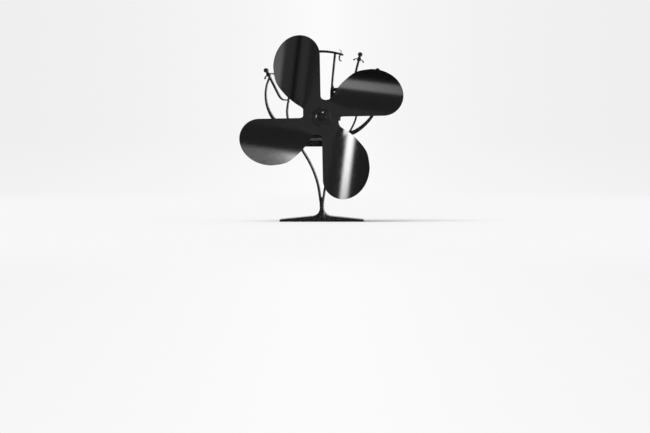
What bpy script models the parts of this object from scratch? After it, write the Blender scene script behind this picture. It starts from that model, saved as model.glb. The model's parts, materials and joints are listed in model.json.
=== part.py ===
"""A heat-powered stove fan, modelled as the separate pieces that it is put together from.

The stand is one aluminium extrusion: foot, stem, two arms and a hot plate. The crown is a second
extrusion: a cold plate, scrolled fins, two pairs of finials, a carrying bar and the cradle of the
motor. Between the plates sits a thermoelectric module, which drives a small brushed motor, and the
motor turns a rotor of four blades cut and curled from one sheet.

Lengths are in metres. +Z is up, the rotor faces -Y, and the origin is under the middle of the foot.
"""

import math

import bmesh
import bpy
import numpy as np
from mathutils import Matrix, Vector
from mathutils.geometry import delaunay_2d_cdt

# Clearances that all pieces share
SEAT_GAP = 0.0003
FILM_GAP = 0.0002
RUN_GAP = 0.00008
END_PLAY = 0.0002
CUT_OVERRUN = 0.002
WELD_DISTANCE = 0.00004

# How finely curves are divided: counts, not lengths
PATH_STEPS = 4
HOOK_STEPS = 3
FINE_SIDES = 36
SIDES = 20
SMALL_SIDES = 12
CORNER_STEPS = 4

# Stand: foot, stem, arms and hot plate
STAND_HEIGHT = 0.0862
STAND_DEPTH = 0.056
FOOT_HALF_WIDTH = 0.045
FOOT_TIP_THICKNESS = 0.0024
FOOT_MIDDLE_THICKNESS = 0.0069
FOOT_TIP_ROUND = 0.0007
FOOT_FILLET = 0.009
STEM_WAIST_HALF_WIDTH = 0.0019
STEM_FORK_HEIGHT = 0.0262
STEM_FORK_HALF_WIDTH = 0.0024
ARM_THICKNESS = 0.0020
ARM_REACH = 0.0240
ARM_SHARES = (
    (0.055, 0.27),
    (0.157, 0.471),
    (0.313, 0.631),
    (0.55, 0.791),
    (0.83, 0.93),
    (1.05, 1.03),
)
HOT_PLATE_HALF_WIDTH = 0.0295
HOT_PLATE_THICKNESS = 0.0058
PLATE_END_ROUND = 0.0012

# Thermoelectric module, counted from the hot plate upwards
MODULE_SIDE = 0.040
PAD_THICKNESS = 0.0003
CERAMIC_THICKNESS = 0.0006
CHAIN_HEIGHT = 0.0012
SEAL_WIDTH = 0.0016
LEGS_PER_SIDE = 8
LEG_WIDTH_SHARE = 0.56
TAB_HEIGHT_SHARE = 0.2

# Crown: cold plate, fins, finials, carrying bar and motor cradle
CROWN_HALF_WIDTH = 0.0603
CROWN_HEIGHT = 0.0918
CROWN_DEPTH = 0.044
COLD_PLATE_THICKNESS = 0.0061
COLD_PLATE_HALF_WIDTH_SHARE = 0.5
OUTER_FIN_THICKNESS = 0.0048
OUTER_FIN_SHARES = (
    (0.43, 0.030, 1.0),
    (0.587, 0.064, 0.93),
    (0.746, 0.138, 0.77),
    (0.889, 0.244, 0.63),
    (0.975, 0.371, 0.44),
    (1.0, 0.497, 0.36),
    (0.985, 0.595, 0.32),
    (0.966, 0.64, 0.31),
    (0.935, 0.694, 0.31),
)
INNER_FIN_THICKNESS = 0.0017
INNER_FIN_SHARES = (
    (0.485, 0.05, 1.05),
    (0.555, 0.138, 1.0),
    (0.602, 0.214, 1.05),
    (0.618, 0.29, 1.1),
    (0.609, 0.368, 1.05),
    (0.592, 0.427, 1.05),
)
SHELL_THICKNESS = 0.0026
SHELL_SHARES = (
    (0.601, 0.424, 0.62),
    (0.572, 0.483, 0.8),
    (0.515, 0.531, 1.0),
    (0.438, 0.557, 1.05),
    (0.34, 0.563, 1.1),
    (0.25, 0.555, 1.2),
    (0.176, 0.54, 1.3),
)
TALL_FINIAL_SHARES = (0.6565, 0.8975)
TALL_FINIAL_FOOT_SHARES = (0.513, 0.528)
TALL_FINIAL_LEAN = math.radians(14)
LOW_FINIAL_SHARES = (0.940, 0.718)
LOW_FINIAL_STEM_SHARES = (
    (0.814, 0.555, 1.0),
    (0.752, 0.476, 0.95),
    (0.700, 0.441, 0.78),
    (0.645, 0.4345, 0.62),
    (0.598, 0.433, 0.66),
)
LOW_FINIAL_LEAN = math.radians(28)
STEM_THICKNESS = 0.0021
BALL_RADIUS = 0.0024
BALL_REACH = 0.0065
GUARD_REACH = 0.0050
GUARD_DROP = 0.0013
GUARD_THICKNESS = 0.0012
GUARD_SHARES = (
    (0.0, 0.0, 1.0),
    (0.4, 0.35, 0.65),
    (0.8, 0.1, 0.5),
    (1.0, -0.8, 0.5),
)
GUARD_BEAD_RADIUS = 0.0008
KNOT_WIDTH = 0.0038
KNOT_SHARES = (
    (-0.15, 0.65),
    (0.0, 1.0),
    (0.25, 0.62),
    (0.5, 0.42),
    (0.8, 0.5),
)
POST_THICKNESS = 0.0020
POST_SHARES = (
    (0.2345, 0.978, 1.0),
    (0.206, 0.786, 1.0),
    (0.181, 0.604, 1.0),
    (0.171, 0.53, 1.4),
)
POST_FOOT_SHARE = 0.52
POST_FOOT_WIDTH_SHARE = 1.6
BAR_HALF_LENGTH = 0.0228
BAR_SAG = 0.0038
BAR_THICKNESS = 0.0023
BAR_END_WIDTH_SHARE = 0.8
BAR_STATIONS = 9
HOOK_PLACE_SHARE = 0.868
HOOK_LENGTH = 0.0076
HOOK_THICKNESS = 0.0011
HOOK_SHARES = (
    (0.0, 0.0, 1.0),
    (-0.17, -0.45, 1.0),
    (-0.08, -0.87, 0.9),
    (0.17, -0.97, 0.85),
)
HORN_THICKNESS = 0.0005
HORN_SHARES = (
    (0.08, 0.0, 1.4),
    (0.12, 0.3, 1.0),
    (0.06, 0.55, 1.0),
    (-0.22, 0.62, 0.9),
)
CRADLE_HALF_WIDTH = 0.0199
CRADLE_RISE = 0.0180
CRADLE_DROP = 0.0038
CRADLE_CORNER = 0.0018

# Clamp screws that draw the plates onto the module
CLAMP_X = 0.0224
CLAMP_Y = 0.0130
CLAMP_SHANK_RADIUS = 0.0015
CLAMP_HEAD_RADIUS = 0.0027
CLAMP_HEAD_HEIGHT = 0.0020
CLAMP_DRIVE_RADIUS = 0.0012
CLAMP_DRIVE_DEPTH = 0.0012
CLAMP_THREAD_DEPTH = 0.0043
CLAMP_SINK = 0.0047
WASHER_RADIUS = 0.0032
WASHER_THICKNESS = 0.0005
WASHER_CONE = 0.0003
INSULATOR_FLANGE = 0.0008
INSULATOR_WALL = 0.0006
INSULATOR_SLEEVE = 0.0012

# Motor, counted from its front face backwards
MOTOR_RADIUS = 0.0120
MOTOR_LENGTH = 0.0260
MOTOR_SET_BACK = 0.0020
MOTOR_PLATE_GAP = 0.0034
CAN_WALL = 0.0009
CAN_EDGE_ROUND = 0.0008
CAN_NOSE_RADIUS = 0.0040
CAN_NOSE_LENGTH = 0.0020
BUSH_RADIUS = 0.0026
BUSH_LENGTH = 0.0036
SHAFT_RADIUS = 0.0010
SHAFT_CHAMFER = 0.0002
CAP_PLUG = 0.0017
CAP_FLANGE = 0.0020
THRUST_WASHER_RADIUS = 0.0021
THRUST_WASHER_THICKNESS = 0.0005
MAGNET_THICKNESS = 0.0026
MAGNET_LENGTH = 0.0150
MAGNET_HALF_ANGLE = math.radians(68)
AIR_GAP = 0.0005
ARMATURE_LENGTH = 0.0100
ARMATURE_HUB_RADIUS = 0.0024
POLE_COUNT = 3
POLE_STEM_WIDTH = 0.0022
POLE_SHOE_THICKNESS = 0.0012
POLE_SHOE_HALF_ANGLE = math.radians(48)
COIL_OVERHANG = 0.0018
COIL_WIDTH = 0.0060
COIL_CORNER = 0.0010
COMMUTATOR_LENGTH = 0.0046
SLEEVE_WALL = 0.0006
SEGMENT_WALL = 0.0006
SEGMENT_SLOT_ANGLE = math.radians(14)
BRUSH_LENGTH = 0.0024
BRUSH_HEIGHT = 0.0022
TERMINAL_X = 0.0060
TERMINAL_THICKNESS = 0.0005
TERMINAL_HEIGHT = 0.0024
TERMINAL_TAIL = 0.0045
TERMINAL_EYE_RADIUS = 0.0006
SET_SCREW_RADIUS = 0.0015
SET_SCREW_DRIVE_RADIUS = 0.0007
SET_SCREW_DRIVE_DEPTH = 0.0015
SET_SCREW_PROUD = 0.0008

# Leads from the module to the motor
LEAD_RADIUS = 0.0008

# Rotor: blades, hub and their fasteners
BLADE_REACH = 0.0877
BLADE_WIDTH = 0.0516
BLADE_THICKNESS = 0.0008
STRAIGHT_EDGE_INNER = 0.0008
STRAIGHT_EDGE_OUTER = 0.0016
TIP_RADIUS = 0.0214
BULGE_PEAK_SHARE = 0.604
BULGE_SHARES = (
    (0.421, 0.938),
    (0.268, 0.740),
    (0.171, 0.545),
)
HUB_REACH = 0.0192
NOTCH_SHARES = (
    (0.53, 1.08),
    (0.31, 0.972),
    (0.10, 0.998),
    (-0.022, 1.11),
)
STRAIGHT_START_SHARE = 1.28
BLADE_COUNT = 4
CURL_RADIUS = 0.120
CURL_START = 0.0085
CURL_SKEW = math.radians(6.8)
CURL_CREASES = 9
BLADE_DISH = 0.0014
DISH_CREASES = 4
HUB_FLAT_RADIUS = 0.0165
CURL_BLEND = 0.016
SWEEP_CLEARANCE = 0.003
HUB_SLEEVE_RADIUS = 0.0045
HUB_SLEEVE_LENGTH = 0.0075
HUB_FLANGE_RADIUS = 0.0080
HUB_FLANGE_THICKNESS = 0.0012
HUB_STUD_RADIUS = 0.0028
HUB_STUD_CHAMFER = 0.0005
HUB_STUD_PROUD = 0.0004
HUB_WASHER_RADIUS = 0.0102
HUB_WASHER_THICKNESS = 0.0007
HUB_NUT_FLATS = 0.0117
HUB_NUT_THICKNESS = 0.0048
HUB_NUT_CHAMFER = 0.0009
GRUB_RADIUS = 0.0009
GRUB_DRIVE_RADIUS = 0.0004
GRUB_DRIVE_DEPTH = 0.0007

# Heights and places that follow from the sizes above
HOT_PLATE_UNDERSIDE = STAND_HEIGHT - HOT_PLATE_THICKNESS
PAD_BOTTOM = STAND_HEIGHT + FILM_GAP
HOT_CERAMIC_BOTTOM = PAD_BOTTOM + PAD_THICKNESS + FILM_GAP
CHAIN_BOTTOM = HOT_CERAMIC_BOTTOM + CERAMIC_THICKNESS + FILM_GAP
COLD_CERAMIC_BOTTOM = CHAIN_BOTTOM + CHAIN_HEIGHT + FILM_GAP
COLD_PAD_BOTTOM = COLD_CERAMIC_BOTTOM + CERAMIC_THICKNESS + FILM_GAP
COLD_PLATE_UNDERSIDE = COLD_PAD_BOTTOM + PAD_THICKNESS + FILM_GAP
COLD_PLATE_TOP = COLD_PLATE_UNDERSIDE + COLD_PLATE_THICKNESS
AXIS_HEIGHT = COLD_PLATE_TOP + MOTOR_PLATE_GAP + MOTOR_RADIUS
CRADLE_BORE_RADIUS = MOTOR_RADIUS + SEAT_GAP
CRADLE_TOP = AXIS_HEIGHT + CRADLE_RISE
MOTOR_FRONT = MOTOR_SET_BACK - CROWN_DEPTH / 2
MOTOR_REAR = MOTOR_FRONT + MOTOR_LENGTH
CAN_BORE_RADIUS = MOTOR_RADIUS - CAN_WALL
SHAFT_BORE_RADIUS = SHAFT_RADIUS + RUN_GAP
BUSH_SEAT_RADIUS = BUSH_RADIUS + SEAT_GAP
CAP_INNER_FACE = MOTOR_REAR - CAP_PLUG
CAP_OUTER_FACE = MOTOR_REAR + SEAT_GAP + CAP_FLANGE
MAGNET_OUTER_RADIUS = CAN_BORE_RADIUS - SEAT_GAP
MAGNET_INNER_RADIUS = MAGNET_OUTER_RADIUS - MAGNET_THICKNESS
ARMATURE_RADIUS = MAGNET_INNER_RADIUS - AIR_GAP
FRONT_BUSH_START = MOTOR_FRONT - CAN_NOSE_LENGTH
FRONT_BUSH_END = FRONT_BUSH_START + BUSH_LENGTH
FRONT_THRUST_START = FRONT_BUSH_END + END_PLAY
COIL_START = FRONT_THRUST_START + THRUST_WASHER_THICKNESS + SEAT_GAP
ARMATURE_START = COIL_START + COIL_OVERHANG
ARMATURE_END = ARMATURE_START + ARMATURE_LENGTH
COIL_END = ARMATURE_END + COIL_OVERHANG
COMMUTATOR_START = COIL_END + SEAT_GAP
COMMUTATOR_END = COMMUTATOR_START + COMMUTATOR_LENGTH
SLEEVE_BORE_RADIUS = SHAFT_RADIUS + SEAT_GAP
SLEEVE_RADIUS = SLEEVE_BORE_RADIUS + SLEEVE_WALL
SEGMENT_BORE_RADIUS = SLEEVE_RADIUS + SEAT_GAP
COMMUTATOR_RADIUS = SEGMENT_BORE_RADIUS + SEGMENT_WALL
REAR_THRUST_START = COMMUTATOR_END + SEAT_GAP
REAR_BUSH_START = REAR_THRUST_START + THRUST_WASHER_THICKNESS + END_PLAY
REAR_BUSH_END = REAR_BUSH_START + BUSH_LENGTH
TERMINAL_END = CAP_OUTER_FACE + TERMINAL_TAIL
INSULATOR_SEAT = COLD_PLATE_TOP - CLAMP_SINK + SEAT_GAP
CLAMP_SEAT = INSULATOR_SEAT + INSULATOR_FLANGE
CLAMP_WASHER_SEAT = CLAMP_SEAT + SEAT_GAP
CLAMP_HEAD_SEAT = CLAMP_WASHER_SEAT + WASHER_THICKNESS + WASHER_CONE + SEAT_GAP
CLAMP_TIP = STAND_HEIGHT - CLAMP_THREAD_DEPTH

# Colours, roughness and metallic values of the materials
SATIN_BLACK = (0.018, 0.018, 0.019)
GLOSS_BLACK = (0.012, 0.012, 0.013)
GRAPHITE = (0.05, 0.05, 0.055)
CERAMIC_WHITE = (0.78, 0.78, 0.75)
SEAL_GREY = (0.55, 0.55, 0.53)
TELLURIDE = (0.30, 0.30, 0.32)
STEEL = (0.52, 0.52, 0.53)
SPRING_STEEL = (0.35, 0.33, 0.31)
BRONZE = (0.42, 0.27, 0.13)
COPPER = (0.72, 0.35, 0.20)
BRASS = (0.62, 0.47, 0.20)
FERRITE = (0.06, 0.055, 0.055)
CAP_PLASTIC = (0.03, 0.03, 0.03)
CREAM_PLASTIC = (0.68, 0.62, 0.48)
SILICONE_RED = (0.45, 0.02, 0.015)
SILICONE_BLACK = (0.015, 0.015, 0.015)


def clear_scene():
    for item in list(bpy.data.objects):
        bpy.data.objects.remove(item, do_unlink=True)


def surface(name, colour, roughness, metallic):
    """Make one Principled material."""
    material = bpy.data.materials.new(name)
    material.use_nodes = True
    shader = material.node_tree.nodes["Principled BSDF"]
    shader.inputs["Base Color"].default_value = (*colour, 1.0)
    shader.inputs["Roughness"].default_value = roughness
    shader.inputs["Metallic"].default_value = metallic
    return material


def add_object(name, data, finish, parent=None, location=(0, 0, 0), rotation=(0, 0, 0)):
    """Link one named piece with its own material, smooth where its faces meet at a low angle."""
    item = bpy.data.objects.new(name, data)
    bpy.context.scene.collection.objects.link(item)
    item.parent = parent
    item.location = location
    item.rotation_euler = rotation
    data.materials.clear()
    data.materials.append(surface(name, *finish))
    if item.type == "MESH":
        data.shade_smooth()
        data.set_sharp_from_angle(angle=math.radians(35))
    return item


def mesh_from(bm, name):
    """Close a bmesh: merge doubles, point every face outwards and write it to a mesh."""
    bmesh.ops.remove_doubles(bm, verts=bm.verts, dist=WELD_DISTANCE / 10)
    bmesh.ops.recalc_face_normals(bm, faces=bm.faces)
    mesh = bpy.data.meshes.new(name)
    bm.to_mesh(mesh)
    bm.free()
    return mesh


def cut_with(item, cutter_mesh):
    """Take a hidden cutter, given in the piece's own frame, out of the piece."""
    cutter = bpy.data.objects.new(item.name + "_cutter", cutter_mesh)
    bpy.context.scene.collection.objects.link(cutter)
    cutter.parent = item
    cutter.hide_render = True
    cutter.display_type = "WIRE"
    difference = item.modifiers.new("cut", "BOOLEAN")
    difference.operation = "DIFFERENCE"
    difference.solver = "EXACT"
    difference.object = cutter


def smooth_through(stations, steps):
    """Run a Catmull-Rom curve through rows of numbers, with so many steps to each span."""
    rows = np.array(stations, dtype=float)
    padded = np.vstack((2 * rows[0] - rows[1], rows, 2 * rows[-1] - rows[-2]))
    turn = np.arange(steps)[:, None] / steps
    spans = []
    for before, start, end, after in zip(padded, padded[1:], padded[2:], padded[3:]):
        slope = (end - before) / 2
        next_slope = (after - start) / 2
        fall = 3 * (end - start) - 2 * slope - next_slope
        bend = 2 * (start - end) + slope + next_slope
        spans.append(start + turn * (slope + turn * (fall + turn * bend)))
    return np.vstack((*spans, rows[-1:]))


def scaled(shares, width, height, thickness):
    """Turn rows of shares, across, up and thick, into rows of lengths."""
    return np.array(shares) * np.array((width, height, thickness))


def mirrored(outline):
    """Reflect an outline across the middle plane."""
    return np.array(outline) * np.array((-1, 1))


def circle(centre, radius, sides):
    angles = np.arange(sides) * math.tau / sides
    return np.array(centre) + radius * np.column_stack((np.cos(angles), np.sin(angles)))


def arc(centre, radius, start, end, steps):
    angles = np.linspace(start, end, steps + 1)
    return np.array(centre) + radius * np.column_stack((np.cos(angles), np.sin(angles)))


def ring_sector(inner, outer, middle, half_angle, steps):
    """Outline of the part of a ring that lies within half_angle of the angle middle."""
    outside = arc((0, 0), outer, middle - half_angle, middle + half_angle, steps)
    inside = arc((0, 0), inner, middle + half_angle, middle - half_angle, steps)
    return np.vstack((outside, inside))


def rounded_box(low, high, corner, steps=CORNER_STEPS):
    """Outline of an upright rectangle with round corners."""
    low = np.array(low)
    high = np.array(high)
    quarter = math.pi / 2
    centres = (
        (high[0] - corner, high[1] - corner),
        (low[0] + corner, high[1] - corner),
        (low[0] + corner, low[1] + corner),
        (high[0] - corner, low[1] + corner),
    )
    turns = [arc(c, corner, k * quarter, (k + 1) * quarter, steps) for k, c in enumerate(centres)]
    return np.vstack(turns)


def ribbon(stations, steps=PATH_STEPS):
    """Outline of a strip along a smooth line through stations of place and thickness."""
    line = smooth_through(stations, steps)
    ahead = np.gradient(line[:, :2], axis=0)
    ahead /= np.linalg.norm(ahead, axis=1)[:, None]
    side = np.column_stack((-ahead[:, 1], ahead[:, 0])) * line[:, 2:] / 2
    return np.vstack((line[:, :2] - side, (line[:, :2] + side)[::-1]))


def counted_edges(triangles):
    """Edges that only one triangle has: the rim of the region."""
    seen = {}
    for triangle in triangles:
        for a, b in zip(triangle, (*triangle[1:], triangle[0])):
            key = (min(a, b), max(a, b))
            seen.setdefault(key, []).append((a, b))
    return [uses[0] for uses in seen.values() if len(uses) == 1]


def inside(points, edges, spots):
    """Tell which spots lie within the edges: a ray towards +X crosses an odd number of them."""
    start = points[edges[:, 0]]
    end = points[edges[:, 1]]
    level = spots[:, None, 1]
    spans = (start[None, :, 1] > level) != (end[None, :, 1] > level)
    rise = np.where(spans, (end - start)[None, :, 1], 1)
    crossing = start[None, :, 0] + (level - start[None, :, 1]) / rise * (end - start)[None, :, 0]
    hits = spans & (crossing > spots[:, None, 0])
    return hits.sum(axis=1) % 2 == 1


def orient(outline):
    """Return an outline counter-clockwise."""
    x, z = np.array(outline).T
    area = np.sum(x * np.roll(z, -1) - z * np.roll(x, -1))
    return outline if area > 0 else outline[::-1]


def flat_region(solids, holes=(), creases=()):
    """Join overlapping outlines, less the holes, into one flat region.

    The first triangulation finds which triangles a solid outline covers and no hole does. Its rim
    is welded and triangulated again, alone or with creases, which are lines that the triangles
    keep to. The result is an array of points and a list of triangles.
    """
    outlines = [orient(np.array(outline)) for outline in (*solids, *holes)]
    counts = [len(outline) for outline in outlines]
    starts = np.cumsum((0, *counts))
    faces = [list(range(start, start + count)) for start, count in zip(starts, counts)]
    corners = [Vector(point) for point in np.vstack(outlines)]
    found = delaunay_2d_cdt(corners, [], faces, 1, WELD_DISTANCE / 100)
    kept = [
        triangle
        for triangle, sources in zip(found[2], found[5])
        if any(s < len(solids) for s in sources) and all(s < len(solids) for s in sources)
    ]
    rim = bmesh.new()
    spots = [rim.verts.new((*point, 0)) for point in found[0]]
    for a, b in counted_edges(kept):
        rim.edges.new((spots[a], spots[b]))
    loose = [spot for spot in spots if not spot.link_edges]
    bmesh.ops.delete(rim, geom=loose, context="VERTS")
    bmesh.ops.remove_doubles(rim, verts=rim.verts, dist=WELD_DISTANCE)
    rim.verts.index_update()
    points = np.array([vert.co.xy for vert in rim.verts])
    edges = np.array([[vert.index for vert in edge.verts] for edge in rim.edges])
    rim.free()
    lines = list(points)
    constraints = [tuple(edge) for edge in edges.tolist()]
    for crease in creases:
        constraints += [(len(lines) + k, len(lines) + k + 1) for k in range(len(crease) - 1)]
        lines += list(crease)
    again = delaunay_2d_cdt([Vector(p) for p in lines], constraints, [], 0, WELD_DISTANCE / 100)
    points_again = np.array(again[0])
    triangles = np.array(again[2])
    centres = points_again[triangles].mean(axis=1)
    chosen = triangles[inside(points, edges, centres)]
    return points_again, chosen.tolist()


def extruded(region, front, back):
    """Fill the space between two heights along Y over a flat region in the XZ plane.

    front and back are either one length or one length for each point of the region.
    """
    points, triangles = region
    front = np.broadcast_to(front, len(points))
    back = np.broadcast_to(back, len(points))
    used = sorted({corner for triangle in triangles for corner in triangle})
    bm = bmesh.new()
    near = {k: bm.verts.new((points[k][0], front[k], points[k][1])) for k in used}
    far = {k: bm.verts.new((points[k][0], back[k], points[k][1])) for k in used}
    for a, b, c in triangles:
        bm.faces.new((near[a], near[b], near[c]))
        bm.faces.new((far[c], far[b], far[a]))
    for a, b in counted_edges(triangles):
        bm.faces.new((near[b], near[a], far[a], far[b]))
    return bm


def turned(profile, sides=SIDES, closed=True):
    """Revolve rows of radius and place along Y; a radius of zero is a point on the axis."""
    bm = bmesh.new()
    angles = [k * math.tau / sides for k in range(sides)]
    rings = []
    for radius, along in profile:
        if radius == 0:
            rings.append([bm.verts.new((0, along, 0))] * sides)
        else:
            rings.append([bm.verts.new((radius * math.cos(a), along, radius * math.sin(a))) for a in angles])
    pairs = list(zip(rings, rings[1:]))
    if closed:
        pairs.append((rings[-1], rings[0]))
    for ring, other in pairs:
        for k in range(sides):
            corners = (ring[k], ring[k - 1], other[k - 1], other[k])
            distinct = list(dict.fromkeys(corners))
            if len(distinct) > 2:
                bm.faces.new(distinct)
    return bm


def tube_profile(inner, outer, start, end):
    return ((inner, start), (outer, start), (outer, end), (inner, end))


def block(low, high):
    """A box between two corners."""
    bm = bmesh.new()
    size = Vector(high) - Vector(low)
    place = Matrix.Translation((Vector(high) + Vector(low)) / 2) @ Matrix.Diagonal((*size, 1))
    bmesh.ops.create_cube(bm, size=1, matrix=place)
    return bm


def pegs(places, radius, low, high):
    """Upright cylinders at several places, in one mesh, to cut holes with."""
    bm = bmesh.new()
    for x, y in places:
        middle = Matrix.Translation((x, y, (low + high) / 2))
        bmesh.ops.create_cone(
            bm, cap_ends=True, segments=SMALL_SIDES, radius1=radius, radius2=radius,
            depth=high - low, matrix=middle,
        )
    return bm


def stepped_holes(places, radius, wide_radius, step, top):
    """Upright cutters that are narrow below the step and wide above it."""
    bm = bmesh.new()
    start = -CUT_OVERRUN
    profile = ((0, start), (radius, start), (radius, step), (wide_radius, step), (wide_radius, top), (0, top))
    upright = Matrix.Rotation(math.pi / 2, 4, "X")
    for x, y in places:
        one = turned(profile, SMALL_SIDES, False)
        bmesh.ops.transform(one, matrix=Matrix.Translation((x, y, 0)) @ upright, verts=one.verts)
        mesh = mesh_from(one, "hole")
        bm.from_mesh(mesh)
        bpy.data.meshes.remove(mesh)
    return mesh_from(bm, "stepped_holes")


def clamp_places():
    return [(x, y) for x in (-CLAMP_X, CLAMP_X) for y in (-CLAMP_Y, CLAMP_Y)]


def foot_outline():
    """Foot and stem: a tapered foot that sweeps up in a round fillet to a stem that forks."""
    slope = math.atan((FOOT_MIDDLE_THICKNESS - FOOT_TIP_THICKNESS) / FOOT_HALF_WIDTH)
    centre_x = STEM_WAIST_HALF_WIDTH + FOOT_FILLET
    foot_top = FOOT_MIDDLE_THICKNESS - math.tan(slope) * centre_x
    centre = (centre_x, foot_top + FOOT_FILLET / math.cos(slope))
    quarter = math.pi / 2
    edge = FOOT_HALF_WIDTH - FOOT_TIP_ROUND
    lower_tip = arc((edge, FOOT_TIP_ROUND), FOOT_TIP_ROUND, -quarter, 0, 2)
    upper_tip = arc((edge, FOOT_TIP_THICKNESS - FOOT_TIP_ROUND), FOOT_TIP_ROUND, 0, quarter, 2)
    sweep = arc(centre, FOOT_FILLET, 3 * quarter - slope, math.pi, 2 * CORNER_STEPS)
    fork = ((STEM_FORK_HALF_WIDTH, STEM_FORK_HEIGHT),)
    half = np.vstack((lower_tip, upper_tip, sweep, fork))
    return np.vstack((half, mirrored(half)[::-1]))


def make_stand():
    arm = ribbon(scaled([(*share, 1) for share in ARM_SHARES], ARM_REACH, HOT_PLATE_UNDERSIDE, ARM_THICKNESS))
    plate = rounded_box(
        (-HOT_PLATE_HALF_WIDTH, HOT_PLATE_UNDERSIDE), (HOT_PLATE_HALF_WIDTH, STAND_HEIGHT), PLATE_END_ROUND,
    )
    region = flat_region((foot_outline(), arm, mirrored(arm), plate))
    bm = extruded(region, -STAND_DEPTH / 2, STAND_DEPTH / 2)
    stand = add_object("base_stand", mesh_from(bm, "base_stand"), (SATIN_BLACK, 0.42, 0.0))
    holes = pegs(
        clamp_places(), CLAMP_SHANK_RADIUS + SEAT_GAP, CLAMP_TIP - SEAT_GAP, STAND_HEIGHT + CUT_OVERRUN,
    )
    cut_with(stand, mesh_from(holes, "clamp_threads"))


def finial(centre, lean, stem):
    """Outlines of one finial: stem, ball, knot and a cross guard with a bead at each end."""
    along = np.array((math.sin(lean), math.cos(lean)))
    across = np.array((math.cos(lean), -math.sin(lean)))
    ball_centre = centre + along * BALL_REACH
    knot = [(*(centre + along * up * BALL_REACH), wide * KNOT_WIDTH) for up, wide in KNOT_SHARES]
    pieces = [ribbon(stem), ribbon(knot, HOOK_STEPS), circle(ball_centre, BALL_RADIUS, SMALL_SIDES)]
    for side in (-1, 1):
        arm = []
        for out, up, thick in GUARD_SHARES:
            place = centre + across * side * out * GUARD_REACH + along * up * GUARD_DROP
            arm.append((*place, thick * GUARD_THICKNESS))
        pieces.append(ribbon(arm, HOOK_STEPS))
        pieces.append(circle(arm[-1][:2], GUARD_BEAD_RADIUS, SMALL_SIDES // 2))
    return pieces


def carrying_bar():
    """Outline of the bar: a shallow arch, thickest in the middle."""
    share = np.linspace(-1, 1, BAR_STATIONS)
    thick = BAR_THICKNESS * (1 - (1 - BAR_END_WIDTH_SHARE) * np.abs(share))
    height = CROWN_HEIGHT - BAR_SAG * share**2
    return ribbon(np.column_stack((share * BAR_HALF_LENGTH, height, thick)), 2)


def bar_hooks():
    """Outlines of the drooping hook and the small horn near the bar's right end."""
    place = HOOK_PLACE_SHARE * BAR_HALF_LENGTH
    height = CROWN_HEIGHT - BAR_SAG * HOOK_PLACE_SHARE**2
    start = np.array((place, height, 0))
    hook = start + scaled(HOOK_SHARES, HOOK_LENGTH, HOOK_LENGTH, HOOK_THICKNESS)
    horn = start + scaled(HORN_SHARES, HOOK_LENGTH, HOOK_LENGTH, HORN_THICKNESS)
    return [ribbon(hook, HOOK_STEPS), ribbon(horn, HOOK_STEPS)]


def crown_side():
    """Outlines of everything on the right half of the crown, above the cold plate's underside."""
    size = (CROWN_HALF_WIDTH, CROWN_HEIGHT)
    pieces = [
        ribbon(scaled(OUTER_FIN_SHARES, *size, OUTER_FIN_THICKNESS)),
        ribbon(scaled(INNER_FIN_SHARES, *size, INNER_FIN_THICKNESS)),
        ribbon(scaled(SHELL_SHARES, *size, SHELL_THICKNESS), HOOK_STEPS),
    ]
    tall = np.array(TALL_FINIAL_SHARES) * size
    tall_foot = np.array(TALL_FINIAL_FOOT_SHARES) * size
    pieces += finial(tall, TALL_FINIAL_LEAN, ((*tall, STEM_THICKNESS), (*tall_foot, STEM_THICKNESS)))
    low = np.array(LOW_FINIAL_SHARES) * size
    low_stem = scaled(LOW_FINIAL_STEM_SHARES, *size, STEM_THICKNESS)
    pieces += finial(low, LOW_FINIAL_LEAN, np.vstack(((*low, STEM_THICKNESS), low_stem)))
    post = scaled(POST_SHARES, *size, POST_THICKNESS)
    post_foot = (
        CRADLE_HALF_WIDTH * POST_FOOT_SHARE,
        CRADLE_TOP - COLD_PLATE_UNDERSIDE - CRADLE_CORNER,
        POST_THICKNESS * POST_FOOT_WIDTH_SHARE,
    )
    pieces.append(ribbon(np.vstack((post, post_foot))))
    return pieces + bar_hooks()


def make_crown():
    """The crown stands on its own frame, whose zero is the cold plate's underside."""
    axis = AXIS_HEIGHT - COLD_PLATE_UNDERSIDE
    plate_end = CROWN_HALF_WIDTH * COLD_PLATE_HALF_WIDTH_SHARE
    plate = rounded_box((-plate_end, 0), (plate_end, COLD_PLATE_THICKNESS), PLATE_END_ROUND)
    cradle = rounded_box(
        (-CRADLE_HALF_WIDTH, axis - CRADLE_DROP), (CRADLE_HALF_WIDTH, axis + CRADLE_RISE), CRADLE_CORNER,
    )
    bore = circle((0, axis), CRADLE_BORE_RADIUS, FINE_SIDES)
    right = crown_side()
    left = [mirrored(outline) for outline in right]
    region = flat_region((plate, cradle, carrying_bar(), *right, *left), holes=(bore,))
    bm = extruded(region, -CROWN_DEPTH / 2, CROWN_DEPTH / 2)
    crown = add_object(
        "crown_heat_sink", mesh_from(bm, "crown_heat_sink"), (SATIN_BLACK, 0.42, 0.0),
        location=(0, 0, COLD_PLATE_UNDERSIDE),
    )
    sleeve_radius = CLAMP_SHANK_RADIUS + SEAT_GAP + INSULATOR_WALL + SEAT_GAP
    sunk = stepped_holes(
        clamp_places(), sleeve_radius, WASHER_RADIUS + SEAT_GAP,
        COLD_PLATE_THICKNESS - CLAMP_SINK, COLD_PLATE_THICKNESS + CUT_OVERRUN,
    )
    cut_with(crown, sunk)
    set_screw_place = (0, (MOTOR_FRONT + MOTOR_REAR) / 2)
    cradle_top = axis + CRADLE_RISE + CUT_OVERRUN
    tapped = pegs((set_screw_place,), SET_SCREW_RADIUS + SEAT_GAP, axis, cradle_top)
    cut_with(crown, mesh_from(tapped, "set_screw_hole"))


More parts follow.
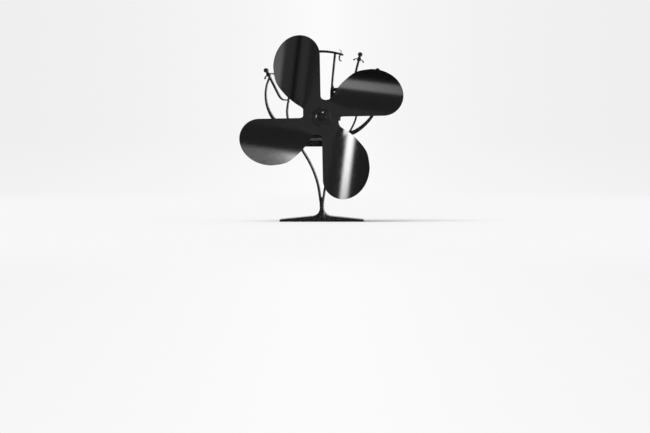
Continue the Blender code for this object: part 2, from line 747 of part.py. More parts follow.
def make_slab(name, bottom, thickness, finish):
    """One square layer of the module."""
    half = MODULE_SIDE / 2
    bm = block((-half, -half, 0), (half, half, thickness))
    add_object(name, mesh_from(bm, name), finish, location=(0, 0, bottom))


def chain_cells():
    """Which cells of the module's grid hold metal: legs, and the tabs that join them in series.

    Legs stand at even rows and columns. The chain runs up one row of legs and down the next, and
    its tabs lie above and below the legs in turn.
    """
    size = 2 * LEGS_PER_SIDE - 1
    filled = np.zeros((size, size, 3), dtype=bool)
    order = []
    for row in range(LEGS_PER_SIDE):
        columns = range(LEGS_PER_SIDE)
        if row % 2:
            columns = reversed(columns)
        order += [(2 * row, 2 * column) for column in columns]
    for place in order:
        filled[place] = True, True, True
    for step, (here, there) in enumerate(zip(order, order[1:])):
        between = ((here[0] + there[0]) // 2, (here[1] + there[1]) // 2)
        filled[between][2 * (step % 2)] = True
    return filled


def make_chain():
    """The thermocouples, as one unbroken chain of legs and tabs."""
    inner = MODULE_SIDE - 2 * (SEAL_WIDTH + SEAT_GAP)
    pitch = inner / (LEGS_PER_SIDE - 1 + LEG_WIDTH_SHARE)
    leg = pitch * LEG_WIDTH_SHARE
    lines = [edge for k in range(LEGS_PER_SIDE) for edge in (k * pitch, k * pitch + leg)]
    across = np.array(lines) - inner / 2
    tab = CHAIN_HEIGHT * TAB_HEIGHT_SHARE
    up = (0, tab, CHAIN_HEIGHT - tab, CHAIN_HEIGHT)
    filled = np.pad(chain_cells(), 1)
    bm = bmesh.new()
    corners = {}

    def corner(i, j, k):
        if (i, j, k) not in corners:
            corners[i, j, k] = bm.verts.new((across[i], -across[j], up[k]))
        return corners[i, j, k]

    for i, j, k in np.argwhere(filled):
        a, b, c = int(i) - 1, int(j) - 1, int(k) - 1
        for side in (0, 1):
            if not filled[i - 1 + 2 * side, j, k]:
                bm.faces.new([corner(a + side, b + p, c + q) for p, q in ((0, 0), (1, 0), (1, 1), (0, 1))])
            if not filled[i, j - 1 + 2 * side, k]:
                bm.faces.new([corner(a + p, b + side, c + q) for p, q in ((0, 0), (1, 0), (1, 1), (0, 1))])
            if not filled[i, j, k - 1 + 2 * side]:
                bm.faces.new([corner(a + p, b + q, c + side) for p, q in ((0, 0), (1, 0), (1, 1), (0, 1))])
    bmesh.ops.recalc_face_normals(bm, faces=bm.faces)
    bmesh.ops.dissolve_limit(bm, angle_limit=math.radians(1), verts=bm.verts, edges=bm.edges)
    add_object(
        "thermocouple_chain", mesh_from(bm, "thermocouple_chain"), (TELLURIDE, 0.45, 0.8),
        location=(0, 0, CHAIN_BOTTOM),
    )


def make_seal():
    """The soft seal that closes the module's edge between the two ceramics."""
    outer = MODULE_SIDE / 2
    hollow = outer - SEAL_WIDTH
    rim = rounded_box((-outer, -outer), (outer, outer), SEAL_WIDTH / 2)
    window = rounded_box((-hollow, -hollow), (hollow, hollow), SEAL_WIDTH / 4)
    bm = extruded(flat_region((rim,), holes=(window,)), 0, CHAIN_HEIGHT)
    add_object(
        "module_edge_seal", mesh_from(bm, "module_edge_seal"), (SEAL_GREY, 0.6, 0.0),
        location=(0, 0, CHAIN_BOTTOM + CHAIN_HEIGHT), rotation=(-math.pi / 2, 0, 0),
    )


def make_module():
    make_slab("hot_side_graphite_pad", PAD_BOTTOM, PAD_THICKNESS, (GRAPHITE, 0.7, 0.3))
    make_slab("hot_side_ceramic", HOT_CERAMIC_BOTTOM, CERAMIC_THICKNESS, (CERAMIC_WHITE, 0.35, 0.0))
    make_chain()
    make_seal()
    make_slab("cold_side_ceramic", COLD_CERAMIC_BOTTOM, CERAMIC_THICKNESS, (CERAMIC_WHITE, 0.35, 0.0))
    make_slab("cold_side_graphite_pad", COLD_PAD_BOTTOM, PAD_THICKNESS, (GRAPHITE, 0.7, 0.3))


def driven_screw(shank_radius, head_radius, head_height, length, drive_radius, drive_depth):
    """Profile of a screw whose head's underside is at zero and whose shank runs to -length."""
    return (
        (0, -length),
        (shank_radius, -length),
        (shank_radius, 0),
        (head_radius, 0),
        (head_radius, head_height / 2),
        (head_radius - head_height / 4, head_height),
        (drive_radius, head_height),
        (drive_radius, head_height - drive_depth),
        (0, head_height - drive_depth),
    )


def make_clamps():
    """Four screws, each with a cone spring washer and an insulating bush under its head."""
    upright = (math.pi / 2, 0, 0)
    hole = CLAMP_SHANK_RADIUS + SEAT_GAP
    screw = driven_screw(
        CLAMP_SHANK_RADIUS, CLAMP_HEAD_RADIUS, CLAMP_HEAD_HEIGHT, CLAMP_HEAD_SEAT - CLAMP_TIP,
        CLAMP_DRIVE_RADIUS, CLAMP_DRIVE_DEPTH,
    )
    washer = (
        (hole, WASHER_CONE),
        (WASHER_RADIUS, 0),
        (WASHER_RADIUS, WASHER_THICKNESS),
        (hole, WASHER_CONE + WASHER_THICKNESS),
    )
    insulator = (
        (hole, -INSULATOR_SLEEVE),
        (hole + INSULATOR_WALL, -INSULATOR_SLEEVE),
        (hole + INSULATOR_WALL, 0),
        (WASHER_RADIUS, 0),
        (WASHER_RADIUS, INSULATOR_FLANGE),
        (hole, INSULATOR_FLANGE),
    )
    for number, (x, y) in enumerate(clamp_places(), start=1):
        parts = (
            ("clamp_screw", screw, False, CLAMP_HEAD_SEAT, (STEEL, 0.35, 1.0)),
            ("clamp_spring_washer", washer, True, CLAMP_WASHER_SEAT, (SPRING_STEEL, 0.4, 1.0)),
            ("clamp_insulator", insulator, True, INSULATOR_SEAT, (CREAM_PLASTIC, 0.6, 0.0)),
        )
        for kind, profile, closed, seat, finish in parts:
            name = f"{kind}_{number}"
            mesh = mesh_from(turned(profile, SMALL_SIDES, closed), name)
            add_object(name, mesh, finish, location=(x, y, seat), rotation=upright)


def make_can(axis):
    """The drawn steel can, open at the rear, with a nose for the front bush."""
    nose_front = MOTOR_FRONT - CAN_NOSE_LENGTH
    profile = (
        (BUSH_SEAT_RADIUS, nose_front),
        (CAN_NOSE_RADIUS, nose_front),
        (CAN_NOSE_RADIUS, MOTOR_FRONT),
        (MOTOR_RADIUS - CAN_EDGE_ROUND, MOTOR_FRONT),
        (MOTOR_RADIUS, MOTOR_FRONT + CAN_EDGE_ROUND),
        (MOTOR_RADIUS, MOTOR_REAR),
        (CAN_BORE_RADIUS, MOTOR_REAR),
        (CAN_BORE_RADIUS, MOTOR_FRONT + CAN_WALL),
        (BUSH_SEAT_RADIUS, MOTOR_FRONT + CAN_WALL),
    )
    add_object("motor_can", mesh_from(turned(profile, FINE_SIDES), "motor_can"), (STEEL, 0.32, 1.0), axis)


def make_end_cap(axis):
    """The moulded end cap, with the rear bush's seat and two slots for the terminals."""
    flange_start = MOTOR_REAR + SEAT_GAP
    plug_radius = CAN_BORE_RADIUS - SEAT_GAP
    boss_end = max(REAR_BUSH_END, CAP_OUTER_FACE + SEAT_GAP)
    profile = (
        (BUSH_SEAT_RADIUS, CAP_INNER_FACE),
        (plug_radius, CAP_INNER_FACE),
        (plug_radius, flange_start),
        (MOTOR_RADIUS, flange_start),
        (MOTOR_RADIUS, CAP_OUTER_FACE),
        (CAN_NOSE_RADIUS, CAP_OUTER_FACE),
        (CAN_NOSE_RADIUS, boss_end),
        (BUSH_SEAT_RADIUS, boss_end),
    )
    mesh = mesh_from(turned(profile, FINE_SIDES), "motor_end_cap")
    cap = add_object("motor_end_cap", mesh, (CAP_PLASTIC, 0.5, 0.0), axis)
    slot_half_x = TERMINAL_THICKNESS / 2 + SEAT_GAP
    slot_half_z = TERMINAL_HEIGHT / 2 + SEAT_GAP
    slots = bpy.data.meshes.new("terminal_slots")
    for side in (-1, 1):
        middle = side * TERMINAL_X
        slot = block(
            (middle - slot_half_x, CAP_INNER_FACE - CUT_OVERRUN, -slot_half_z),
            (middle + slot_half_x, CAP_OUTER_FACE + CUT_OVERRUN, slot_half_z),
        )
        slot.from_mesh(slots)
        slot.to_mesh(slots)
        slot.free()
    cut_with(cap, slots)


def make_bearings(axis):
    """Sintered bushes in the can's nose and the end cap."""
    for name, start in (("front_bush", FRONT_BUSH_START), ("rear_bush", REAR_BUSH_START)):
        profile = tube_profile(SHAFT_BORE_RADIUS, BUSH_RADIUS, start, start + BUSH_LENGTH)
        add_object(name, mesh_from(turned(profile), name), (BRONZE, 0.55, 0.9), axis)


def make_magnets(axis):
    """Two arched ferrite magnets, left and right of the armature."""
    middle = (ARMATURE_START + ARMATURE_END) / 2
    for name, angle in (("field_magnet_right", 0), ("field_magnet_left", math.pi)):
        sector = ring_sector(MAGNET_INNER_RADIUS, MAGNET_OUTER_RADIUS, angle, MAGNET_HALF_ANGLE, 14)
        bm = extruded(flat_region((sector,)), middle - MAGNET_LENGTH / 2, middle + MAGNET_LENGTH / 2)
        add_object(name, mesh_from(bm, name), (FERRITE, 0.6, 0.0), axis)


def make_terminals(axis):
    """Stamped strips through the end cap, each with a carbon brush on its inner end."""
    brush_middle = (COMMUTATOR_START + COMMUTATOR_END) / 2
    start = brush_middle - BRUSH_LENGTH / 2
    half = TERMINAL_HEIGHT / 2
    strip = rounded_box((start, -half), (TERMINAL_END, half), half / 2, 2)
    eye = circle((TERMINAL_END - half, 0), TERMINAL_EYE_RADIUS, SMALL_SIDES)
    region = flat_region((strip,), holes=(eye,))
    for word, side in (("left", -1), ("right", 1)):
        name = "terminal_" + word
        bm = extruded(region, -TERMINAL_THICKNESS / 2, TERMINAL_THICKNESS / 2)
        add_object(
            name, mesh_from(bm, name), (BRASS, 0.35, 1.0), axis,
            location=(side * TERMINAL_X, 0, 0), rotation=(0, 0, math.pi / 2),
        )
        face = TERMINAL_X - TERMINAL_THICKNESS / 2 - SEAT_GAP
        tip = COMMUTATOR_RADIUS + SEAT_GAP
        ends = sorted((side * tip, side * face))
        bm = block(
            (ends[0], start, -BRUSH_HEIGHT / 2),
            (ends[1], start + BRUSH_LENGTH, BRUSH_HEIGHT / 2),
        )
        name = "brush_" + word
        add_object(name, mesh_from(bm, name), (GRAPHITE, 0.5, 0.2), axis)


def make_set_screw():
    """The screw down through the cradle that holds the motor."""
    start = AXIS_HEIGHT + MOTOR_RADIUS + SEAT_GAP
    length = CRADLE_TOP + SET_SCREW_PROUD - start
    profile = (
        (0, 0),
        (SET_SCREW_RADIUS, 0),
        (SET_SCREW_RADIUS, length),
        (SET_SCREW_DRIVE_RADIUS, length),
        (SET_SCREW_DRIVE_RADIUS, length - SET_SCREW_DRIVE_DEPTH),
        (0, length - SET_SCREW_DRIVE_DEPTH),
    )
    mesh = mesh_from(turned(profile, SMALL_SIDES, False), "motor_set_screw")
    add_object(
        "motor_set_screw", mesh, (STEEL, 0.4, 1.0),
        location=(0, (MOTOR_FRONT + MOTOR_REAR) / 2, start), rotation=(math.pi / 2, 0, 0),
    )


def lead_route(side):
    """Points of a lead: out of the module's rear edge, up behind the crown and in to its terminal."""
    module_rear = MODULE_SIDE / 2
    behind = CROWN_DEPTH / 2 + 5 * LEAD_RADIUS
    corner = module_rear - SEAL_WIDTH - 3 * LEAD_RADIUS
    mid_module = CHAIN_BOTTOM + CHAIN_HEIGHT / 2
    plate_middle = (COLD_PLATE_UNDERSIDE + COLD_PLATE_TOP) / 2
    terminal_y = TERMINAL_END + SEAT_GAP
    rise = AXIS_HEIGHT - plate_middle
    run = corner - TERMINAL_X
    return (
        (side * corner, module_rear + SEAT_GAP, mid_module),
        (side * corner, (module_rear + behind) / 2, mid_module),
        (side * corner, behind, plate_middle),
        (side * (corner - run / 3), behind, plate_middle + rise / 3),
        (side * (corner - 4 * run / 5), behind, plate_middle + 3 * rise / 4),
        (side * TERMINAL_X, (behind + terminal_y) / 2, AXIS_HEIGHT),
        (side * TERMINAL_X, terminal_y, AXIS_HEIGHT),
    )


def make_leads():
    for name, side, colour in (("lead_red", -1, SILICONE_RED), ("lead_black", 1, SILICONE_BLACK)):
        line = smooth_through(lead_route(side), PATH_STEPS)
        curve = bpy.data.curves.new(name, "CURVE")
        curve.dimensions = "3D"
        curve.bevel_depth = LEAD_RADIUS
        curve.bevel_resolution = 2
        curve.use_fill_caps = True
        spline = curve.splines.new("POLY")
        spline.points.add(len(line) - 1)
        spline.points.foreach_set("co", np.column_stack((line, np.ones(len(line)))).ravel())
        add_object(name, curve, (colour, 0.5, 0.0))


def make_shaft(axis, front):
    """The shaft, from inside the rear bush to the middle of the hub's stud."""
    rear = REAR_BUSH_END - SEAT_GAP
    inner = SHAFT_RADIUS - SHAFT_CHAMFER
    profile = (
        (0, front),
        (inner, front),
        (SHAFT_RADIUS, front + SHAFT_CHAMFER),
        (SHAFT_RADIUS, rear - SHAFT_CHAMFER),
        (inner, rear),
        (0, rear),
    )
    mesh = mesh_from(turned(profile, SIDES, False), "motor_shaft")
    add_object("motor_shaft", mesh, (STEEL, 0.2, 1.0), axis)


def make_armature(axis):
    """Laminated core with three poles, and a coil round each pole's stem."""
    shoe_radius = ARMATURE_RADIUS - POLE_SHOE_THICKNESS
    stem_half = POLE_STEM_WIDTH / 2
    overlap = POLE_SHOE_THICKNESS / 2
    solids = [circle((0, 0), ARMATURE_HUB_RADIUS, SIDES)]
    angles = [math.pi / 2 + k * math.tau / POLE_COUNT for k in range(POLE_COUNT)]
    for angle in angles:
        solids.append(ring_sector(shoe_radius, ARMATURE_RADIUS, angle, POLE_SHOE_HALF_ANGLE, 8))
        along = np.array((math.cos(angle), math.sin(angle)))
        across = np.array((-along[1], along[0]))
        outer = along * (shoe_radius + overlap)
        flank = across * stem_half
        solids.append((-flank, outer - flank, outer + flank, flank))
    bore = circle((0, 0), SHAFT_RADIUS + SEAT_GAP, SMALL_SIDES)
    bm = extruded(flat_region(solids, holes=(bore,)), ARMATURE_START, ARMATURE_END)
    add_object("armature_core", mesh_from(bm, "armature_core"), (STEEL, 0.5, 0.9), axis)

    inner_x = stem_half + SEAT_GAP
    inner_z = ARMATURE_LENGTH / 2 + SEAT_GAP
    outer_x = COIL_WIDTH / 2
    outer_z = ARMATURE_LENGTH / 2 + COIL_OVERHANG
    loop = rounded_box((-outer_x, -outer_z), (outer_x, outer_z), COIL_CORNER)
    window = rounded_box((-inner_x, -inner_z), (inner_x, inner_z), SEAT_GAP, 1)
    region = flat_region((loop,), holes=(window,))
    lowest = ARMATURE_HUB_RADIUS + SEAT_GAP
    clear_of_next = outer_x / math.tan(math.pi / POLE_COUNT) + SEAT_GAP
    start = max(lowest, clear_of_next)
    end = math.sqrt((shoe_radius - SEAT_GAP) ** 2 - outer_x**2)
    for number, angle in enumerate(angles, start=1):
        bm = extruded(region, start, end)
        name = f"armature_coil_{number}"
        coil = add_object(name, mesh_from(bm, name), (COPPER, 0.4, 0.9), axis)
        coil.location = (0, (ARMATURE_START + ARMATURE_END) / 2, 0)
        coil.rotation_euler = Matrix.Rotation(-angle, 3, "Y").to_euler()
        lay = Matrix(((0, 1, 0), (0, 0, 1), (1, 0, 0))).to_4x4()
        coil.data.transform(lay)


def make_commutator(axis):
    """Moulded sleeve and three copper segments."""
    profile = tube_profile(SLEEVE_BORE_RADIUS, SLEEVE_RADIUS, COMMUTATOR_START, COMMUTATOR_END)
    mesh = mesh_from(turned(profile, SMALL_SIDES), "commutator_sleeve")
    add_object("commutator_sleeve", mesh, (CREAM_PLASTIC, 0.5, 0.0), axis)
    half_angle = (math.tau / POLE_COUNT - SEGMENT_SLOT_ANGLE) / 2
    for number in range(POLE_COUNT):
        angle = math.pi / 2 + (number + 0.5) * math.tau / POLE_COUNT
        sector = ring_sector(SEGMENT_BORE_RADIUS, COMMUTATOR_RADIUS, angle, half_angle, 6)
        bm = extruded(flat_region((sector,)), COMMUTATOR_START, COMMUTATOR_END)
        name = f"commutator_segment_{number + 1}"
        add_object(name, mesh_from(bm, name), (COPPER, 0.3, 1.0), axis)


def make_thrust_washers(axis):
    for end, start in (("front", FRONT_THRUST_START), ("rear", REAR_THRUST_START)):
        name = "thrust_washer_" + end
        profile = tube_profile(
            SHAFT_RADIUS + SEAT_GAP, THRUST_WASHER_RADIUS, start, start + THRUST_WASHER_THICKNESS,
        )
        add_object(name, mesh_from(turned(profile, SMALL_SIDES), name), (CREAM_PLASTIC, 0.5, 0.0), axis)


def tip_centre():
    return np.array((BLADE_REACH - TIP_RADIUS, STRAIGHT_EDGE_OUTER + TIP_RADIUS))


def blade_outline():
    """One quarter of the rotor's outline, from a blade's straight edge round to the next one's.

    The blade points along +X with its straight edge below. The tip's lower corner is an arc, its
    upper one an ellipse that runs into a smooth line down the bulge and round the notch.
    """
    centre = tip_centre()
    corner = arc(centre, TIP_RADIUS, -math.pi / 2, 0, 9)
    peak = np.array((BLADE_REACH * BULGE_PEAK_SHARE, BLADE_WIDTH))
    angles = np.linspace(0, math.pi / 2, 13)[1:]
    half_axes = np.array((BLADE_REACH - peak[0], BLADE_WIDTH - centre[1]))
    crest = np.array((peak[0], centre[1])) + half_axes * np.column_stack((np.cos(angles), np.sin(angles)))
    bulge = np.array(BULGE_SHARES) * (BLADE_REACH, BLADE_WIDTH)
    notch = np.array(NOTCH_SHARES) * HUB_REACH
    straight = (-STRAIGHT_EDGE_INNER, STRAIGHT_START_SHARE * HUB_REACH)
    line = smooth_through(np.vstack((crest[-4:], bulge, notch, straight)), PATH_STEPS)
    return np.vstack((corner, crest[:-1], line[3 * PATH_STEPS:]))


def rotor_outline():
    """The whole rotor's outline: a quarter for each blade."""
    quarter = blade_outline()
    turns = []
    for number in range(BLADE_COUNT):
        angle = number * math.tau / BLADE_COUNT
        turn = np.array(((math.cos(angle), math.sin(angle)), (-math.sin(angle), math.cos(angle))))
        turns.append(quarter @ turn)
    return np.vstack(turns)


def curl_distance(along, up):
    """How far a spot of a blade lies past the line where its curl starts."""
    return (up - CURL_START) * math.cos(CURL_SKEW) + (along - HUB_REACH) * math.sin(CURL_SKEW)


def curl_depth(points):
    """How far each spot of the rotor is bent back: a round curl past a skewed line on each blade.

    Within the hub the sheet is flat, and the curl blends in over a short way outside it. Along its
    length the blade is dished a little, more and more towards the tip.
    """
    points = np.array(points)
    reach = np.linalg.norm(points, axis=1)
    bearing = np.arctan2(points[:, 1], points[:, 0])
    lag = math.atan2(STRAIGHT_EDGE_OUTER, HUB_REACH) / 2
    step = math.tau / BLADE_COUNT
    home = np.floor((bearing + lag) / step) * step
    along = points[:, 0] * np.cos(home) + points[:, 1] * np.sin(home)
    up = points[:, 1] * np.cos(home) - points[:, 0] * np.sin(home)
    past = np.clip(curl_distance(along, up), 0, CURL_RADIUS)
    blend = np.clip((reach - HUB_FLAT_RADIUS) / CURL_BLEND, 0, 1)
    curl = (CURL_RADIUS - np.sqrt(CURL_RADIUS**2 - past**2)) * blend**2 * (3 - 2 * blend)
    outward = np.clip((along - HUB_REACH) / (BLADE_REACH - HUB_REACH), 0, 1)
    return curl + BLADE_DISH * outward**2


def blade_creases():
    """Lines that the rotor's facets keep to: along and across each blade, and round the hub."""
    direction = np.array((math.cos(CURL_SKEW), -math.sin(CURL_SKEW)))
    across = np.array((math.sin(CURL_SKEW), math.cos(CURL_SKEW)))
    start = np.array((HUB_REACH, CURL_START))
    creases = []
    for number in range(BLADE_COUNT):
        angle = number * math.tau / BLADE_COUNT
        turn = np.array(((math.cos(angle), math.sin(angle)), (-math.sin(angle), math.cos(angle))))
        for k in range(CURL_CREASES):
            origin = start + across * BLADE_WIDTH * k / CURL_CREASES
            ends = np.array((origin, origin + direction * BLADE_REACH))
            creases.append(ends @ turn)
        for k in range(DISH_CREASES):
            out = HUB_REACH + (BLADE_REACH - HUB_REACH) * (k + 1) / (DISH_CREASES + 1)
            ends = np.array(((out, -STRAIGHT_EDGE_OUTER), (out, BLADE_WIDTH + STRAIGHT_EDGE_OUTER)))
            creases.append(ends @ turn)
    for share in (0, 0.5, 1):
        loop = circle((0, 0), HUB_FLAT_RADIUS + share * CURL_BLEND, SIDES)
        creases.append(np.vstack((loop, loop[:1])))
    return creases


def make_blades(axis, sheet_front):
    """The four blades, cut and curled from one sheet."""
    bore = circle((0, 0), HUB_STUD_RADIUS + SEAT_GAP, SIDES)
    points, triangles = flat_region((rotor_outline(),), holes=(bore,), creases=blade_creases())
    front = sheet_front + curl_depth(points)
    bm = extruded((points, triangles), front, front + BLADE_THICKNESS)
    add_object("fan_blades", mesh_from(bm, "fan_blades"), (GLOSS_BLACK, 0.08, 0.0), axis)


def make_hub(axis, sheet_front):
    """Flanged boss behind the blades, and the washer and nut in front of them."""
    flange_front = sheet_front + BLADE_THICKNESS + SEAT_GAP
    flange_rear = flange_front + HUB_FLANGE_THICKNESS
    sleeve_rear = flange_rear + HUB_SLEEVE_LENGTH
    washer_rear = sheet_front - SEAT_GAP
    washer_front = washer_rear - HUB_WASHER_THICKNESS
    nut_rear = washer_front - SEAT_GAP
    nut_front = nut_rear - HUB_NUT_THICKNESS
    stud_front = nut_front - HUB_STUD_PROUD
    bore = SHAFT_RADIUS + SEAT_GAP
    profile = (
        (0, stud_front),
        (HUB_STUD_RADIUS - HUB_STUD_CHAMFER, stud_front),
        (HUB_STUD_RADIUS, stud_front + HUB_STUD_CHAMFER),
        (HUB_STUD_RADIUS, flange_front),
        (HUB_FLANGE_RADIUS, flange_front),
        (HUB_FLANGE_RADIUS, flange_rear),
        (HUB_SLEEVE_RADIUS, flange_rear),
        (HUB_SLEEVE_RADIUS, sleeve_rear),
        (bore, sleeve_rear),
        (bore, washer_front),
        (0, washer_front),
    )
    mesh = mesh_from(turned(profile, SIDES, False), "hub_boss")
    boss = add_object("hub_boss", mesh, (SATIN_BLACK, 0.4, 0.0), axis)
    grub_y = (flange_rear + sleeve_rear) / 2
    tapped = pegs(((0, grub_y),), GRUB_RADIUS + SEAT_GAP, 0, HUB_SLEEVE_RADIUS + CUT_OVERRUN)
    cut_with(boss, mesh_from(tapped, "grub_hole"))
    grub = (
        (0, bore),
        (GRUB_RADIUS, bore),
        (GRUB_RADIUS, HUB_SLEEVE_RADIUS),
        (GRUB_DRIVE_RADIUS, HUB_SLEEVE_RADIUS),
        (GRUB_DRIVE_RADIUS, HUB_SLEEVE_RADIUS - GRUB_DRIVE_DEPTH),
        (0, HUB_SLEEVE_RADIUS - GRUB_DRIVE_DEPTH),
    )
    mesh = mesh_from(turned(grub, SMALL_SIDES, False), "hub_grub_screw")
    add_object(
        "hub_grub_screw", mesh, (STEEL, 0.4, 1.0), axis,
        location=(0, grub_y, 0), rotation=(math.pi / 2, 0, 0),
    )
    hole = HUB_STUD_RADIUS + SEAT_GAP
    edge = HUB_WASHER_THICKNESS / 2
    washer = (
        (hole, washer_rear),
        (hole, washer_front),
        (HUB_WASHER_RADIUS - edge, washer_front),
        (HUB_WASHER_RADIUS, washer_rear - edge),
        (HUB_WASHER_RADIUS, washer_rear),
    )
    mesh = mesh_from(turned(washer, FINE_SIDES), "hub_washer")
    add_object("hub_washer", mesh, (GLOSS_BLACK, 0.15, 0.0), axis)
    make_nut(axis, nut_front, nut_rear)


def make_nut(axis, front, rear):
    """Six-sided nut with flats above and below and a chamfered front rim."""
    corner_radius = HUB_NUT_FLATS / 2 / math.cos(math.pi / 6)
    rim = circle((0, 0), corner_radius, 6)
    bore = circle((0, 0), HUB_STUD_RADIUS + SEAT_GAP, SIDES)
    bm = extruded(flat_region((rim,), holes=(bore,)), front, rear)
    edges = [
        edge
        for edge in bm.edges
        if all(vert.co.y < (front + rear) / 2 for vert in edge.verts)
        and all(vert.co.xz.length > corner_radius - WELD_DISTANCE for vert in edge.verts)
    ]
    bmesh.ops.bevel(bm, geom=edges, offset=HUB_NUT_CHAMFER, segments=1, affect="EDGES")
    add_object("hub_nut", mesh_from(bm, "hub_nut"), (GLOSS_BLACK, 0.18, 0.0), axis)


def build():
    clear_scene()
    make_stand()
    make_crown()
    make_module()
    make_clamps()
    make_set_screw()
    make_leads()
    axis = bpy.data.objects.new("rotor_axis", None)
    axis.location = (0, 0, AXIS_HEIGHT)
    bpy.context.scene.collection.objects.link(axis)
    make_can(axis)
    make_end_cap(axis)
    make_bearings(axis)
    make_magnets(axis)
    make_terminals(axis)
    deepest = float(curl_depth(rotor_outline()).max()) + BLADE_THICKNESS
    sheet_front = -(max(STAND_DEPTH, CROWN_DEPTH) / 2 + SWEEP_CLEARANCE + deepest)
    make_shaft(axis, sheet_front)
    make_armature(axis)
    make_commutator(axis)
    make_thrust_washers(axis)
    make_blades(axis, sheet_front)
    make_hub(axis, sheet_front)


build()
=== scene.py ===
import bpy
import bmesh
import json
import math
import numpy as np
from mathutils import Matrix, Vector


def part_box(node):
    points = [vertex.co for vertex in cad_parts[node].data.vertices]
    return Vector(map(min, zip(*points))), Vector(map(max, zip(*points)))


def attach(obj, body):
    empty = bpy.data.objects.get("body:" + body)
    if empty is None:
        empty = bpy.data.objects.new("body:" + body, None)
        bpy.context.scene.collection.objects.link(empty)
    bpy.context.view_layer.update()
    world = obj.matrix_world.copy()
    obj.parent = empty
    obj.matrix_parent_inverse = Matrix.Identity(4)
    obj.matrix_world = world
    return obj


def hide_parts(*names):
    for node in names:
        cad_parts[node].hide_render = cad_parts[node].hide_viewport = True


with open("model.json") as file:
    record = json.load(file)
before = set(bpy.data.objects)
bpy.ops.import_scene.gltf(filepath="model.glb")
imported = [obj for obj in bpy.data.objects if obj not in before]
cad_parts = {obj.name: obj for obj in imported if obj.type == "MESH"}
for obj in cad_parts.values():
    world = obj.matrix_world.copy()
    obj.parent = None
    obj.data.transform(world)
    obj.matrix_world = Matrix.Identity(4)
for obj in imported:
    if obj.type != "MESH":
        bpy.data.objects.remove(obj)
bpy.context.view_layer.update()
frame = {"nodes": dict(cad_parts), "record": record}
mm = 0.001
collection = bpy.context.collection
slotOf = {entry["node"]: entry["material_slot"] for entry in frame["record"]["subparts"]}
fresh = []   # new pieces and the finish of each

shot = dict(
    distance=8.0,        # m from the fan
    azimuth=0.9,         # degrees to the right of the front
    height=0.147,        # m above the floor
    lens=412.8,
    aim=(0.0033, 0.0, 0.0052),   # what the middle of the picture shows
)


def makeCamera(v):
    data = bpy.data.cameras.new("camera")
    data.lens = v["lens"]
    data.clip_end = 80
    camera = bpy.data.objects.new("camera", data)
    collection.objects.link(camera)
    a = math.radians(v["azimuth"])
    x, y, z = v["aim"]
    camera.location = (x + math.sin(a) * v["distance"], y - math.cos(a) * v["distance"], v["height"])
    tilt = math.atan2(v["height"] - z, v["distance"])
    camera.rotation_euler = (math.pi / 2 - tilt, 0, a)
    bpy.context.scene.camera = camera


makeCamera(shot)
bpy.context.scene.view_settings.view_transform = "Standard"
print("camera ready")


# how finely the shapes below are worked out, for all pieces; lengths in mm
detail = dict(
    spanSteps=24,        # points that a smooth line gets between two given ones
    edgeSteps=5,         # points round each long edge of a strip
    stripRound=0.42,     # most of a strip's width that one rounded edge may take
    profileRound=0.45,   # most of a profile's side that one soft corner may take
    rimReach=1.6,        # a rod's rim starts this many corner radii from its corner
    perLength=1.6,       # rows of a ribbon for each mm, where no count is given
    tipSteps=7,          # rows of a ribbon's half-round tip
    tipEnd=0.9995,       # how far towards its very point a tip is carried
    rowGap=0.02,         # least gap between a tip's rows and the rest
    threadSteps=6,       # rows in one turn of a screw thread
)
pole = 0.02   # radius in mm at which a turned part closes on its axis
nest = 0.01   # overlapping strips differ in depth by a few of these, so that no end faces share a plane


# Catmull-Rom through rows of numbers, then spaced evenly along the first few columns
def smoothPath(points, count, axes=2):
    p = np.array(points, float)
    q = np.vstack((2 * p[0] - p[1], p, 2 * p[-1] - p[-2]))
    t = np.linspace(0, 1, detail["spanSteps"], endpoint=False)[:, None]
    rows = []
    for a, b, c, d in zip(q, q[1:], q[2:], q[3:]):
        bend = (2 * a - 5 * b + 4 * c - d) * t**2 + (3 * b - a - 3 * c + d) * t**3
        rows.append((2 * b + (c - a) * t + bend) / 2)
    return evenly(np.vstack((*rows, p[-1:])), count, axes)


def runOf(line, axes=2):
    return np.concatenate(([0], np.cumsum(np.linalg.norm(np.diff(line[:, :axes], axis=0), axis=1))))


def evenly(line, count, axes=2):
    run = runOf(line, axes)
    where = np.linspace(0, run[-1], count)
    return np.column_stack([np.interp(where, run, column) for column in line.T])


# quads of a rows x cols grid; wrap closes the second direction, ring the first one too
def gridFaces(rows, cols, wrap, ring=False):
    down, along = np.arange(rows if ring else rows - 1), np.arange(cols if wrap else cols - 1)
    i, j = np.meshgrid(down, along, indexing="ij")
    k, n = (j + 1) % cols, (i + 1) % rows
    return np.stack((i * cols + j, i * cols + k, n * cols + k, n * cols + j), -1).reshape(-1, 4)


# one object out of (vertices in mm, faces, edge mask) parts, standing at the origin
def newPiece(name, parts, body, angle=40):
    verts, faces, mask, start = [], [], [], 0
    for v, f, m in parts:
        verts.append(v)
        mask.append(m)
        faces += [[start + k for k in face] for face in f]
        start += len(v)
    mesh = bpy.data.meshes.new(name)
    mesh.from_pydata((np.vstack(verts) * mm).tolist(), [], faces)
    wear = mesh.attributes.new("edge", "FLOAT", "POINT")
    wear.data.foreach_set("value", np.concatenate(mask))
    mesh.validate()
    bm = bmesh.new()
    bm.from_mesh(mesh)
    bmesh.ops.recalc_face_normals(bm, faces=bm.faces)
    bm.to_mesh(mesh)
    bm.free()
    mesh.shade_smooth()
    mesh.set_sharp_from_angle(angle=math.radians(angle))
    piece = bpy.data.objects.new(name, mesh)
    collection.objects.link(piece)
    if body:
        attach(piece, body)
    return piece


